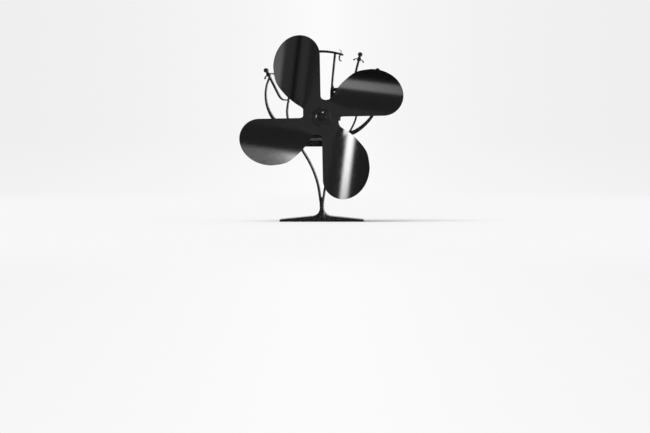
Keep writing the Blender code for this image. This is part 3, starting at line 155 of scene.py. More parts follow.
# A bar between two lines of the XZ plane, depth long in Y, its four long edges rounded:
# p(s, t) = middle(s) + across(s) a(s, t) + Y b(t), where a, b run round a rounded rectangle
def strip(low, high, depth, corner=0.3, y=0.0):
    low, high = np.array(low, float), np.array(high, float)
    middle = (low + high) / 2
    span = high - low
    wide = np.linalg.norm(span, axis=1)
    across = span / wide[:, None]
    steps = detail["edgeSteps"]
    arcs = np.concatenate([np.linspace(q, q + 90, steps) for q in (0, 90, 180, 270)]) * math.pi / 180
    sx = np.repeat((1, -1, -1, 1), steps)
    sy = np.repeat((1, 1, -1, -1), steps)
    r = np.minimum(corner, wide * detail["stripRound"])[:, None]
    a = sx * (wide[:, None] / 2 - r) + r * np.cos(arcs)
    b = sy * (depth / 2 - r) + r * np.sin(arcs)
    grid = np.empty((len(low), len(arcs), 3))
    grid[:, :, 0] = middle[:, :1] + across[:, :1] * a
    grid[:, :, 1] = y + b
    grid[:, :, 2] = middle[:, 1:] + across[:, 1:] * a
    n = len(arcs)
    faces = gridFaces(len(low), n, True).tolist()
    faces += [list(range(n)), list(range((len(low) - 1) * n, len(low) * n))[::-1]]
    mask = np.tile(np.sin(np.linspace(0, math.pi, steps)), (len(low), 4)).ravel()
    return grid.reshape(-1, 3), faces, mask


# a strip along a smooth line of rows (x, z, thickness); a tip is closed with a half round
def ribbon(points, depth, count=0, tip=(False, False), corner=0.3):
    rough = np.array(points, float)
    path = smoothPath(rough, count or int(runOf(rough)[-1] * detail["perLength"]))
    run = where = runOf(path)
    far, gap = run[-1], detail["rowGap"]
    start, end = path[0, 2] / 2, path[-1, 2] / 2
    curve = 1 - np.cos(np.linspace(0, math.pi / 2, detail["tipSteps"]))
    if tip[0]:
        where = np.concatenate((curve * start, where[where > start + gap]))
    if tip[1]:
        where = np.concatenate((where[where < far - end - gap], far - curve[::-1] * end))
    path = np.column_stack([np.interp(where, run, column) for column in path.T])
    half = path[:, 2] / 2
    if tip[0]:
        gone = np.clip(1 - where / half[0], 0, detail["tipEnd"])
        half = half * np.sqrt(1 - gone**2)
    if tip[1]:
        gone = np.clip(1 - (far - where) / half[-1], 0, detail["tipEnd"])
        half = half * np.sqrt(1 - gone**2)
    ahead = np.gradient(path[:, :2], where, axis=0)
    ahead /= np.linalg.norm(ahead, axis=1)[:, None]
    side = np.column_stack((-ahead[:, 1], ahead[:, 0])) * half[:, None]
    return strip(path[:, :2] - side, path[:, :2] + side, depth, corner)


# rows of (radius, place along Y, edge mask) turned about Y through centre (x, z):
# p(k, t) = (r_k(t) cos t, y_k(t), r_k(t) sin t), where r and y are one number or an array round the turn
def lathe(rows, centre=(0, 0), sides=96, ring=False):
    turn = np.arange(sides) * math.tau / sides
    radii, along = (np.array([np.broadcast_to(row[k], sides) for row in rows]) for k in (0, 1))
    grid = np.stack((centre[0] + radii * np.cos(turn), along, centre[1] + radii * np.sin(turn)), -1)
    faces = gridFaces(len(rows), sides, True, ring).tolist()
    if not ring:
        faces += [list(range(sides)), list(range((len(rows) - 1) * sides, len(rows) * sides))[::-1]]
    return grid.reshape(-1, 3), faces, np.repeat([float(row[2]) for row in rows], sides)


# radius round the turn of a hexagon, and how far each direction is from the middle of its flat
def hexRing(flats, sides):
    off = (np.arange(sides) * math.tau / sides - math.pi / 2 + math.pi / 6) % (math.pi / 3) - math.pi / 6
    return flats / 2 / np.cos(off), off


# rows of a screw thread from y0 to y1: r = crest - depth |2 frac(y / pitch - turn) - 1|
def threadRows(y0, y1, crest, depth, pitch, sides):
    turn = np.arange(sides) / sides
    places = np.linspace(y0, y1, max(3, int((y1 - y0) / pitch * detail["threadSteps"])))
    return [(crest - depth * np.abs((y / pitch - turn) % 1 * 2 - 1), y, 0.2) for y in places]


# softens the corners of a turned profile: each corner (radius, place, round) becomes a short arc
def softProfile(corners, steps=5, closed=False):
    pts = np.array([c[:2] for c in corners], float)
    rows = []
    last = len(corners) - 1
    for k, (r, y, bend) in enumerate(corners):
        if not bend or (not closed and k in (0, last)):
            rows.append((r, y, 0))
            continue
        here, before, after = pts[k], pts[k - 1], pts[(k + 1) % len(pts)]
        a, b = before - here, after - here
        most = detail["profileRound"]
        reach = min(bend, np.linalg.norm(a) * most, np.linalg.norm(b) * most)
        start, end = here + a / np.linalg.norm(a) * reach, here + b / np.linalg.norm(b) * reach
        for t in np.linspace(0, 1, steps):
            p = (1 - t)**2 * start + 2 * t * (1 - t) * here + t * t * end
            rows.append((*p, math.sin(math.pi * t)))
    return rows


# a round bar along Y with rounded rims
def rod(centre, radius, depth, corner, sides):
    h, rim = depth / 2, corner * detail["rimReach"]
    rows = [(pole, -h, 0), (radius, -h, rim), (radius, h, rim), (pole, h, 0)]
    return lathe(softProfile(rows, 6), centre, sides)


# A round tube along a smooth space curve, closed at both ends, its radii given along the line:
# p(s, t) = line(s) + r(s) (cos t side(s) + sin t up(s))
def tube(points, radii, count=90, sides=18):
    path = smoothPath(np.column_stack((points, radii)), count, 3)
    ahead = np.gradient(path[:, :3], axis=0)
    ahead /= np.linalg.norm(ahead, axis=1)[:, None]
    side = np.cross(ahead, (1.0, 0.15, 0.05))   # a direction that the line never takes
    side /= np.linalg.norm(side, axis=1)[:, None]
    up = np.cross(ahead, side)
    turn = np.arange(sides) * math.tau / sides
    ring = side[:, None] * np.cos(turn)[None, :, None] + up[:, None] * np.sin(turn)[None, :, None]
    grid = path[:, None, :3] + ring * path[:, 3][:, None, None]
    faces = gridFaces(count, sides, True).tolist()
    faces += [list(range(sides)), list(range((count - 1) * sides, count * sides))[::-1]]
    return grid.reshape(-1, 3), faces, np.zeros(count * sides)


def bothSides(parts):
    flip = np.array((-1, 1, 1))
    return parts + [(v * flip, f, m) for v, f, m in parts]


# a part less the cutters, by a Boolean that is worked out here and kept as plain faces
def cutPart(part, cutters):
    blank = newPiece("blank", [part], None)
    tool = newPiece("tool", cutters, None)
    cut = blank.modifiers.new("holes", "BOOLEAN")
    cut.solver = "EXACT"
    cut.object = tool
    mesh = bpy.data.meshes.new_from_object(blank.evaluated_get(bpy.context.evaluated_depsgraph_get()))
    verts = np.empty(len(mesh.vertices) * 3)
    mesh.vertices.foreach_get("co", verts)
    mask = np.zeros(len(mesh.vertices))
    if "edge" in mesh.attributes:
        mesh.attributes["edge"].data.foreach_get("value", mask)
    faces = [list(face.vertices) for face in mesh.polygons]
    for spare in (blank, tool):
        data = spare.data
        bpy.data.objects.remove(spare)
        bpy.data.meshes.remove(data)
    bpy.data.meshes.remove(mesh)
    return verts.reshape(-1, 3) / mm, faces, mask


# a turned part that stands upright through (x, y): its rows are (radius, height, edge mask)
def upright(rows, x, y, sides=40):
    verts, faces, mask = lathe(rows, (0, 0), sides)
    return np.column_stack((verts[:, 0] + x, verts[:, 2] + y, verts[:, 1])), faces, mask


# the corners of a node's box, in mm
def boxOf(name):
    return np.array(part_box(name)) / mm


sheetFront = boxOf("fan_blades")[0, 1]      # front face of the blade sheet at the hub
axisZ = boxOf("fan_blades")[:, 2].mean()    # height of the motor's axis


# says which node a new piece stands for, and takes that node's finish
def standIn(piece, name):
    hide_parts(name)
    fresh.append((piece, slotOf[name]))


stand = dict(
    depth=56.0, footHalf=45.0, tip=2.4, tipRound=0.7, rise=4.5, waist=1.9, fillet=9.0,
    topFrom=3.0, topTo=1.0,      # the foot's sloping top has its own rows this far inside its ends
    crestHalf=0.6, stemLow=6.0, forkTop=26.2, forkHalf=2.4,
    plateHalf=29.5, plateLow=80.4, plateHigh=86.2, round=1.2, corner=0.35,
    # one arm as rows (x, z, thickness)
    arm=[(1.32, 21.7, 2.0), (3.77, 37.87, 2.0), (7.51, 50.73, 2.0), (13.2, 63.6, 2.0), (19.9, 74.8, 2.0),
         (24.9, 82.0, 2.0)],
)


# a flat bar whose two ends are rounded with a quarter circle above and below
def plateStrip(v, half, z0, z1, depth, corner):
    r = v["round"]
    q = np.linspace(0, math.pi / 2, 8)
    x = np.concatenate((-half + r * (1 - np.cos(q)), half - r * (1 - np.cos(q[::-1]))))
    cut = np.concatenate((r * (1 - np.sin(q)), r * (1 - np.sin(q[::-1]))))
    return strip(np.column_stack((x, z0 + cut)), np.column_stack((x, z1 - cut)), depth, corner)


# foot top: tip + (half - x) tan(slope), then a round fillet of its own radius up to the waist of the stem
def standParts(v):
    slope = math.atan(v["rise"] / v["footHalf"])
    cx = v["waist"] + v["fillet"]
    flat = lambda x: v["tip"] + (v["footHalf"] - x) * math.tan(slope)
    cz = flat(cx) + v["fillet"] / math.cos(slope)
    turn = np.linspace(1.5 * math.pi - slope, math.pi, 26)
    sweep = np.column_stack((cx + v["fillet"] * np.cos(turn), cz + v["fillet"] * np.sin(turn)))
    q = np.linspace(0, math.pi / 2, 6)
    edge = v["tipRound"]
    nose = np.column_stack((v["footHalf"] - edge + edge * np.cos(q), v["tip"] - edge + edge * np.sin(q)))
    run = np.linspace(v["footHalf"] - v["topFrom"], sweep[0, 0] + v["topTo"], 12)
    slant = np.column_stack((run, flat(run)))
    top = np.vstack((nose, slant, sweep, [(v["crestHalf"], sweep[-1, 1] + 0.05)]))
    top = np.vstack((top, (top * (-1, 1))[::-1]))
    low = np.column_stack((top[:, 0], np.zeros(len(top))))
    low[:6, 1] = edge * (1 - np.sin(q))
    low[-6:, 1] = low[:6, 1][::-1]
    foot = strip(low, top, v["depth"], v["corner"])
    z = np.linspace(v["stemLow"], v["forkTop"], 14)
    w = np.interp(z, (sweep[-1, 1], v["forkTop"]), (v["waist"], v["forkHalf"]))
    stem = strip(np.column_stack((-w, z)), np.column_stack((w, z)), v["depth"] - 2 * nest, v["corner"])
    arm = ribbon(v["arm"], v["depth"] - 4 * nest, corner=v["corner"])
    plate = plateStrip(v, v["plateHalf"], v["plateLow"], v["plateHigh"], v["depth"], v["corner"])
    return [foot, stem, plate] + bothSides([arm])


standIn(newPiece("stand_extrusion", standParts(stand), "stationary"), "base_stand")
print("stand built")

crown = dict(
    depth=44.0, corner=0.3, base=90.4, round=1.2, plateHalf=30.15, plateThick=6.1,
    # fins, links and posts as rows (x, z, thickness)
    outer=[(25.9, 93.15, 4.8), (35.4, 96.3, 4.46), (45.0, 103.1, 3.7), (53.6, 112.8, 3.02),
           (58.8, 124.5, 2.11), (60.3, 136.0, 1.73), (59.4, 145.0, 1.54), (58.25, 149.15, 1.49),
           (56.4, 154.1, 1.49)],
    inner=[(29.25, 95.0, 1.79), (33.5, 103.1, 1.7), (36.3, 110.0, 1.79), (37.27, 117.0, 1.87),
           (36.7, 124.2, 1.79), (35.7, 129.6, 1.79)],
    shell=[(36.2, 129.3, 1.6), (34.5, 134.7, 2.1), (31.05, 139.15, 2.6), (26.4, 141.5, 2.73),
           (20.5, 142.1, 2.86), (15.1, 141.7, 3.3), (10.6, 140.8, 4.2)],
    link=[(56.68, 156.3, 2.1), (49.1, 141.35, 2.1), (45.35, 134.1, 2.0), (42.2, 130.9, 1.64),
          (38.9, 130.3, 1.3), (36.1, 130.15, 1.39)],
    tall=[(39.59, 172.8, 2.1), (30.93, 138.9, 2.1)],
    post=[(14.14, 180.2, 2.0), (12.42, 162.55, 2.0), (11.05, 147.6, 2.0), (11.4, 143.6, 3.2),
          (11.0, 139.5, 3.6), (11.3, 134.5, 4.4), (10.6, 128.1, 3.6)],
    # each strip, how many nests it stops short of the full depth, and its rows
    strips=[("outer", 2, 90), ("inner", 4, 50), ("shell", 6, 60), ("link", 8, 60), ("tall", 4, 30),
            ("post", 5, 50)],
    barHalf=23.1, barCrest=182.3, barSag=3.8, barThick=2.6, barEnd=0.86,
    hook=[(20.0, 179.34, 1.3), (18.7, 175.92, 1.25), (19.4, 172.73, 1.1), (21.3, 171.97, 1.0)],
    horn=[(20.4, 179.34, 0.7), (20.7, 181.62, 0.5), (20.25, 183.52, 0.5), (18.12, 184.05, 0.45)],
    hookCorner=0.25, hornCorner=0.15,
    finials=[((39.59, 172.8), 14), ((56.68, 156.3), 28)],   # centre and lean in degrees
    ball=2.4, ballOut=6.5, bead=0.85,
    # share of the way to the ball, width
    knot=[(-0.16, 2.3), (0.0, 3.7), (0.18, 4.1), (0.36, 3.6), (0.54, 2.7), (0.8, 2.1)],
    # out, up, thickness
    guard=[(0.0, 0.4, 1.5), (2.0, 0.95, 1.1), (3.9, 0.75, 0.85), (5.1, -0.6, 0.8)],
    clampX=22.4, clampY=13.0, sleeveHole=2.7, headHole=3.5, sunk=4.7,
    cradleHalf=19.9, cradleRise=18.0, cradleDrop=3.8, bore=12.3, cradleRound=1.8, screwHole=1.8,
    past=(2.0, 5.0),   # how far the cutters run past the plate and the cradle
)


# ball, neck, knot and cross guard round a finial's centre
def finialParts(v, centre, lean):
    a = math.radians(lean)
    along, across = np.array((math.sin(a), math.cos(a))), np.array((math.cos(a), -math.sin(a)))
    centre = np.array(centre, float)
    knot = [(*(centre + along * up * v["ballOut"]), wide) for up, wide in v["knot"]]
    made = [rod(centre + along * v["ballOut"], v["ball"], v["depth"], 0.4, 40)]
    made.append(ribbon(knot, v["depth"] - 5 * nest, 26))
    for side in (-1, 1):
        arm = [(*(centre + across * side * out + along * up), thick) for out, up, thick in v["guard"]]
        made.append(ribbon(arm, v["depth"] - 6 * nest, 26))
        made.append(rod(arm[-1][:2], v["bead"], v["depth"] - 2 * nest, 0.25, 20))
    return made


# the cradle: a strip bent round the motor, from its bore out to a box with round corners
def cradleStrip(v):
    half, rise, drop = v["cradleHalf"], v["cradleRise"], v["cradleDrop"]
    bore, r = v["bore"], v["cradleRound"]
    q = np.linspace(0, math.pi / 2, 8)
    up = np.linspace(-drop, rise - r, 14)
    right = np.column_stack((np.full(len(up), half), up))
    bend = np.column_stack((half - r + r * np.cos(q), rise - r + r * np.sin(q)))
    across = np.linspace(half - r, 0, 14)[1:]
    over = np.column_stack((across, np.full(len(across), rise)))
    line = np.vstack((right, bend[1:], over))
    turn = np.arctan2(line[:, 1], line[:, 0])
    turn = np.where(turn < 0, turn * -math.asin(drop / bore) / turn[0], turn)
    inside = bore * np.column_stack((np.cos(turn), np.sin(turn)))
    high = np.vstack((line, (line * (-1, 1))[-2::-1])) + (0, axisZ)
    low = np.vstack((inside, (inside * (-1, 1))[-2::-1])) + (0, axisZ)
    return strip(low, high, v["depth"] - 2 * nest, 0.4)


def crownParts(v):
    d, c = v["depth"], v["corner"]
    share = np.linspace(-1, 1, 41)
    bar = np.column_stack((
        share * v["barHalf"],
        v["barCrest"] - v["barSag"] * share**2,
        v["barThick"] * (1 - (1 - v["barEnd"]) * np.abs(share)),
    ))
    side = [ribbon(v[name], d - short * nest, rows, corner=c) for name, short, rows in v["strips"]]
    for name in ("hook", "horn"):
        side.append(ribbon(v[name], d - 3 * nest, 24, (False, True), v[name + "Corner"]))
    for centre, lean in v["finials"]:
        side += finialParts(v, centre, lean)
    top = v["base"] + v["plateThick"]
    seat, under, over = top - v["sunk"], v["base"] - v["past"][0], top + v["past"][0]
    sleeve, head = v["sleeveHole"], v["headHole"]
    stepped = [(pole, under, 0), (sleeve, under, 0), (sleeve, seat, 0), (head, seat, 0), (head, over, 0),
               (pole, over, 0)]
    places = [(x, y) for x in (-v["clampX"], v["clampX"]) for y in (-v["clampY"], v["clampY"])]
    plate = plateStrip(v, v["plateHalf"], v["base"], top, d, c)
    plate = cutPart(plate, [upright(stepped, x, y) for x, y in places])
    r, end = v["screwHole"], axisZ + v["cradleRise"] + v["past"][1]
    bored = [(pole, axisZ, 0), (r, axisZ, 0), (r, end, 0), (pole, end, 0)]
    cradle = cutPart(cradleStrip(v), [upright(bored, 0, boxOf("motor_set_screw")[:, 1].mean())])
    return [plate, cradle, ribbon(bar, d, 60, (True, True), c)] + bothSides(side)


standIn(newPiece("crown_extrusion", crownParts(crown), "stationary"), "crown_heat_sink")
print("crown built")

blades = dict(
    reach=87.7, width=51.6, inner=0.8, outer=1.6, tip=21.4, peak=0.604, hub=19.2, bore=3.1,
    bulge=[(0.421, 0.938), (0.268, 0.740), (0.171, 0.545)],                # shares of reach and width
    notch=[(0.53, 1.08), (0.31, 0.972), (0.10, 0.998), (-0.022, 1.11)],    # shares of hub
    straight=1.28,               # share of hub
    curl=120.0, curlStart=8.5, skew=6.8, flat=16.5, blend=16.0, dish=1.4, thick=0.8,
    rows=110, cols=40, hubRings=14, notchSteps=8, tipSteps=60, crestSteps=80, lineSteps=900,
    lead=22, leadStep=7,         # the crest's last points that lead the smooth line on
    weld=0.03, sliver=0.01, edgeRound=0.18, edgeAngle=50,
)


# Bend towards +Y: R - sqrt(R^2 - w^2) past a skewed line, blended in outside the hub,
# and a dish that grows as the square of the way out to the tip
def curlDepth(v, x, z):
    step = math.pi / 2
    home = np.floor((np.arctan2(z, x) + math.atan2(v["outer"], v["hub"]) / 2) / step) * step
    u = x * np.cos(home) + z * np.sin(home)
    w = z * np.cos(home) - x * np.sin(home)
    k = math.radians(v["skew"])
    past = np.clip((w - v["curlStart"]) * math.cos(k) + (u - v["hub"]) * math.sin(k), 0, None)
    b = np.clip((np.hypot(x, z) - v["flat"]) / v["blend"], 0, 1)
    out = np.clip((u - v["hub"]) / (v["reach"] - v["hub"]), 0, 1)
    return (v["curl"] - np.sqrt(v["curl"]**2 - past**2)) * b * b * (3 - 2 * b) + v["dish"] * out**2


# a blade's trailing and leading line from root to tip, and the bottom of the notch
def bladeLines(v):
    tipAt = np.array((v["reach"] - v["tip"], v["outer"] + v["tip"]))
    q = np.linspace(-math.pi / 2, 0, v["tipSteps"])
    corner = tipAt + v["tip"] * np.column_stack((np.cos(q), np.sin(q)))
    peak = np.array((v["reach"] * v["peak"], tipAt[1]))
    q = np.linspace(0, math.pi / 2, v["crestSteps"])
    crest = peak + ((v["reach"], v["width"]) - peak) * np.column_stack((np.cos(q), np.sin(q)))
    inner = np.array(v["bulge"]) * (v["reach"], v["width"])
    notch = np.array(v["notch"]) * v["hub"]
    last = (-v["inner"], v["straight"] * v["hub"])
    line = smoothPath(np.vstack((crest[-v["lead"]::v["leadStep"]], inner, notch, [last])), v["lineSteps"])
    near = lambda p: int(np.argmin(np.linalg.norm(line - p, axis=1)))
    a, f, g = near(crest[-1]), near(notch[1]), near(notch[2])
    leading = np.vstack((line[a + 1:f + 1][::-1], crest[::-1]))
    trailing = np.vstack((line[g:] @ np.array(((0, -1), (1, 0))), corner))
    notchLine = evenly(line[f:g + 1][::-1], v["notchSteps"])[::-1]
    return evenly(trailing, v["rows"]), evenly(leading, v["rows"]), notchLine


# Blade: p(s, t) = (1 - t) trailing(s) + t leading(s), and (1 - s)^6 pulls its root onto an arc round
# the hub. Hub: rings between the bore and that outline. All of it is then set back by curlDepth.
def bladeSurface(v, front, axis):
    trailing, leading, notchLine = bladeLines(v)
    s = np.linspace(0, 1, v["rows"])[:, None, None]
    t = np.linspace(0, 1, v["cols"])[None, :, None]
    grid = (1 - t) * trailing[:, None] + t * leading[:, None]
    bend = np.linspace(math.atan2(*trailing[0][::-1]), math.atan2(*leading[0][::-1]), v["cols"])
    reach = np.linspace(np.linalg.norm(trailing[0]), np.linalg.norm(leading[0]), v["cols"])
    root = reach[:, None] * np.column_stack((np.cos(bend), np.sin(bend)))
    grid = grid + (1 - s)**6 * (root - grid[0])[None]
    ring = np.vstack((root, notchLine[1:-1]))
    faces, points, rim, start = [], [], [], 0
    for k in range(4):
        c, n = math.cos(k * math.pi / 2), math.sin(k * math.pi / 2)
        turn = np.array(((c, n), (-n, c)))
        points.append(grid.reshape(-1, 2) @ turn)
        rim.append(ring @ turn)
        faces.append(gridFaces(v["rows"], v["cols"], False) + start)
        start += v["rows"] * v["cols"]
    rim = np.vstack(rim)
    angle = np.arctan2(rim[:, 1], rim[:, 0])
    bore = v["bore"] * np.column_stack((np.cos(angle), np.sin(angle)))
    t = np.linspace(0, 1, v["hubRings"])[:, None, None]
    points.append(((1 - t) * bore[None] + t * rim[None]).reshape(-1, 2))
    faces.append(gridFaces(v["hubRings"], len(rim), True) + start)
    x, z = np.vstack(points).T
    return np.column_stack((x, front + curlDepth(v, x, z), axis + z)) * mm, np.vstack(faces)


def makeBlades(v, front, axis):
    verts, faces = bladeSurface(v, front, axis)
    mesh = bpy.data.meshes.new("blade_sheet")
    mesh.from_pydata(verts.tolist(), [], faces.tolist())
    bm = bmesh.new()
    bm.from_mesh(mesh)
    bmesh.ops.remove_doubles(bm, verts=bm.verts, dist=v["weld"] * mm)
    bmesh.ops.dissolve_degenerate(bm, edges=bm.edges, dist=v["sliver"] * mm)
    bmesh.ops.recalc_face_normals(bm, faces=bm.faces)
    if sum(face.normal.y * face.calc_area() for face in bm.faces) > 0:
        bmesh.ops.reverse_faces(bm, faces=bm.faces)
    bm.to_mesh(mesh)
    bm.free()
    mesh.shade_smooth()
    piece = bpy.data.objects.new("blade_sheet", mesh)
    collection.objects.link(piece)
    solid = piece.modifiers.new("thickness", "SOLIDIFY")
    solid.thickness = v["thick"] * mm
    solid.offset = -1
    rounding = piece.modifiers.new("rounding", "BEVEL")
    rounding.width = v["edgeRound"] * mm
    rounding.segments = 2
    rounding.angle_limit = math.radians(v["edgeAngle"])
    rounding.harden_normals = True
    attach(piece, "rotor")
    return piece


standIn(makeBlades(blades, sheetFront, axisZ), "fan_blades")
print("blades built")

hub = dict(
    washer=10.2, washerThick=0.7, gap=0.3, hole=3.1,
    # the nut: cornerCut and cornerTurn round its six corners
    flats=11.7, nutThick=4.8, chamfer=0.9, chamferSlope=0.7, cornerCut=0.3, cornerTurn=0.03, holeBevel=0.4,
    # the boss: its stud, flange and sleeve; runOut is the plain neck at the end of the thread
    stud=2.8, studBevel=0.5, thread=0.3, pitch=0.8, runOut=0.5, flange=8.0, flangeThick=1.2,
    sleeve=4.5, sleeveLong=7.5, shaftHole=1.3, shaftPast=1.0, grubHole=1.2, cutPast=1.5,
)


# Nut: its rings follow the hexagon, and a cone at the front and a short bevel at the back cut its corners
def nutPart(v, y0, y1):
    sides = 180
    side, off = hexRing(v["flats"], sides)
    side = side - v["cornerCut"] * np.exp(-((np.abs(off) - math.pi / 6) / v["cornerTurn"])**2)
    crest = v["flats"] / 2 - v["chamfer"]
    rise = (side - crest) * v["chamferSlope"]
    hole, bevel = v["hole"], v["holeBevel"]
    rows = [
        (hole, y1, 0), (hole, y0 + bevel, 0), (hole + bevel, y0, 0.5), (crest - 0.2, y0, 0),
        (crest, y0 + 0.03, 1), (crest + (side - crest) * 0.15, y0 + rise * 0.15 + 0.02, 0.4),
        (side - 0.1, y0 + rise * 0.93, 0.4), (side, y0 + rise + 0.1, 1), (side, y1 - 0.3, 0),
        (side - 0.25, y1, 1),
    ]
    return lathe(rows, (0, axisZ), sides, True)


# Boss: a threaded stud, the flange behind the blades, and a bored sleeve with a tapped hole across
def bossPart(v):
    y0, y1 = boxOf("hub_boss")[:, 1]
    flangeBack = y1 - v["sleeveLong"]
    flangeFront = flangeBack - v["flangeThick"]
    core, bottom, bevel = v["stud"] - v["thread"], sheetFront - v["shaftPast"], v["studBevel"]
    stud = threadRows(y0 + bevel, flangeFront - v["runOut"], v["stud"], v["thread"], v["pitch"], 60)
    rows = [(pole, y0, 0), (v["stud"] - bevel, y0, 1), *stud, (core, flangeFront - 0.2, 0)]
    rows += softProfile([
        (v["stud"], flangeFront, 0), (v["flange"], flangeFront, 0.3), (v["flange"], flangeBack, 0.5),
        (v["sleeve"], flangeBack, 0.4), (v["sleeve"], y1, 0.5), (v["shaftHole"], y1, 0.3),
        (v["shaftHole"], bottom, 0), (pole, bottom, 0)])
    across = boxOf("hub_grub_screw")[:, 1].mean()
    end = axisZ + v["sleeve"] + v["cutPast"]
    bored = [(pole, axisZ, 0), (v["grubHole"], axisZ, 0), (v["grubHole"], end, 0), (pole, end, 0)]
    return cutPart(lathe(rows, (0, axisZ), 60), [upright(bored, 0, across, 24)])


def makeHub(v):
    back = sheetFront - v["gap"]
    front = back - v["washerThick"]
    hole, wide = v["hole"], v["washer"]
    corners = [(hole, back, 0.1), (hole, front, 0.15), (wide, front, 0.15), (wide, back, 0.1)]
    rim = softProfile(corners, closed=True)
    standIn(newPiece("hub_washer_turned", [lathe(rim, (0, axisZ), 128, True)], "rotor", 50), "hub_washer")
    nut = nutPart(v, front - v["gap"] - v["nutThick"], front - v["gap"])
    standIn(newPiece("hub_nut_turned", [nut], "rotor", 20), "hub_nut")
    standIn(newPiece("hub_boss_turned", [bossPart(v)], "rotor", 35), "hub_boss")


makeHub(hub)
print("hub built")

screws = dict(
    sides=36,
    head=2.7, headHigh=2.0, shank=1.5, socket=2.4, socketDeep=1.2, thread=0.22, pitch=0.6, neck=1.2,
    setRadius=1.5, setSocket=1.4, setDeep=1.5, grubRadius=0.9, grubSocket=0.9, grubDeep=1.0,
    grubThread=0.14, grubPitch=0.5,   # a headless screw's thread, as a share of its radius, and its pitch
    point=0.35, start=0.3,            # the tip's bevel, and where the thread starts behind it
)


# hexagonal socket from the rim of a screw's top down to its floor
def socketRows(flats, top, deep, sides):
    side = hexRing(flats, sides)[0]
    floor = top - deep
    return [(side.max() + 0.15, top, 1), (side, top - 0.15, 0.3), (side, floor + 0.1, 0),
            (side * 0.7, floor, 0), (pole, floor, 0)]


# cap screw: pointed tip, thread, plain neck under the head, and a round head with a socket
def capScrew(v, x, y, z0, z1):
    seat, shank, head, sides = z1 - v["headHigh"], v["shank"], v["head"], v["sides"]
    neck = seat - v["neck"]
    rows = [(pole, z0, 0), (shank - v["point"], z0, 0.5)]
    rows += threadRows(z0 + v["start"], neck, shank, v["thread"], v["pitch"], sides)
    rows += softProfile([(shank, neck + 0.2, 0), (shank, seat, 0.1), (head, seat, 0.25), (head, z1, 0.5),
                         (v["socket"] / 2 + 0.4, z1, 0)])
    return upright(rows + socketRows(v["socket"], z1, v["socketDeep"], sides), x, y, sides)


# headless screw: a thread all the way, bevelled at both ends
def grubScrew(v, kind, x, y, z0, z1):
    radius, top, start, sides = v[kind + "Radius"], z1 - 0.05, v["start"], v["sides"]
    thread = threadRows(z0 + start, z1 - start, radius, radius * v["grubThread"], v["grubPitch"], sides)
    rows = [(pole, z0, 0), (radius - v["point"], z0, 0.5), *thread, (radius - 0.2, top, 1)]
    return upright(rows + socketRows(v[kind + "Socket"], top, v[kind + "Deep"], sides), x, y, sides)


def makeScrews(v):
    for k in "1234":
        low, high = boxOf("clamp_screw_" + k)
        part = capScrew(v, *(low + high)[:2] / 2, low[2], high[2])
        standIn(newPiece("clamp_cap_screw_" + k, [part], "stationary"), "clamp_screw_" + k)
    for name, kind, body in (("motor_set_screw", "set", "stationary"), ("hub_grub_screw", "grub", "rotor")):
        low, high = boxOf(name)
        part = grubScrew(v, kind, *(low + high)[:2] / 2, low[2], high[2])
        standIn(newPiece(name + "_threaded", [part], body), name)


makeScrews(screws)
print("screws built")

motor = dict(
    radius=12.0, wall=0.9, nose=4.0, noseOut=2.0, seat=2.9, roll=1.3,
    # the end cap; the ring is its inner and outer radius and its depth
    joint=0.3, plug=10.8, flange=2.0, boss=4.0, sunkRing=(5.6, 9.6, 0.5), ringSlope=0.15,
    slotX=6.0, slotWide=1.1, slotHigh=3.0, slotPast=2.0,
)
# corner: the height where a lead leaves its bend behind the crown; bare: what shows of it at each end
leads = dict(radius=0.8, sleeve=1.05, corner=93.45, bare=0.3)


# the drawn can: open at the back, with soft pressed corners and a nose round the front bush
def makeCan(v):
    y0, y1 = boxOf("motor_can")[:, 1]
    front = y0 + v["noseOut"]
    inside, inner = v["radius"] - v["wall"], front + v["wall"]
    rows = softProfile([
        (v["seat"], y0, 0.15), (v["nose"], y0, 0.5), (v["nose"], front, 0.5),
        (v["radius"], front, v["roll"]), (v["radius"], y1, 0.2), (inside, y1, 0.2), (inside, inner, 0.6),
        (v["seat"], inner, 0.15)], 6, True)
    can = lathe(rows, (0, axisZ), ring=True)
    standIn(newPiece("motor_can_drawn", [can], "stationary", 35), "motor_can")


# the moulded end cap: a plug, a flange with a sunk ring, a boss for the bush, and slots for the terminals
def makeCap(v):
    y0, y1 = boxOf("motor_end_cap")[:, 1]
    start = boxOf("motor_can")[1, 1] + v["joint"]
    face = start + v["flange"]
    inner, outer, deep = v["sunkRing"]
    slope = v["ringSlope"]
    rows = softProfile([
        (v["seat"], y0, 0.1), (v["plug"], y0, 0.3), (v["plug"], start, 0.1), (v["radius"], start, 0.15),
        (v["radius"], face, 0.5), (outer, face, 0.2), (outer - slope, face - deep, 0.15),
        (inner + slope, face - deep, 0.15), (inner, face, 0.2), (v["boss"], face, 0.15),
        (v["boss"], y1, 0.3), (v["seat"], y1, 0.2)], closed=True)
    wide, high, long = v["slotWide"] / 2, v["slotHigh"] / 2, y1 - y0 + 2 * v["slotPast"]
    slots = []
    for x in (-v["slotX"], v["slotX"]):
        ends = np.array(((x - wide, axisZ), (x + wide, axisZ)))
        slots.append(strip(ends - (0, high), ends + (0, high), long, 0.1, (y0 + y1) / 2))
    cap = cutPart(lathe(rows, (0, axisZ), ring=True), slots)
    standIn(newPiece("motor_end_cap_moulded", [cap], "stationary", 35), "motor_end_cap")


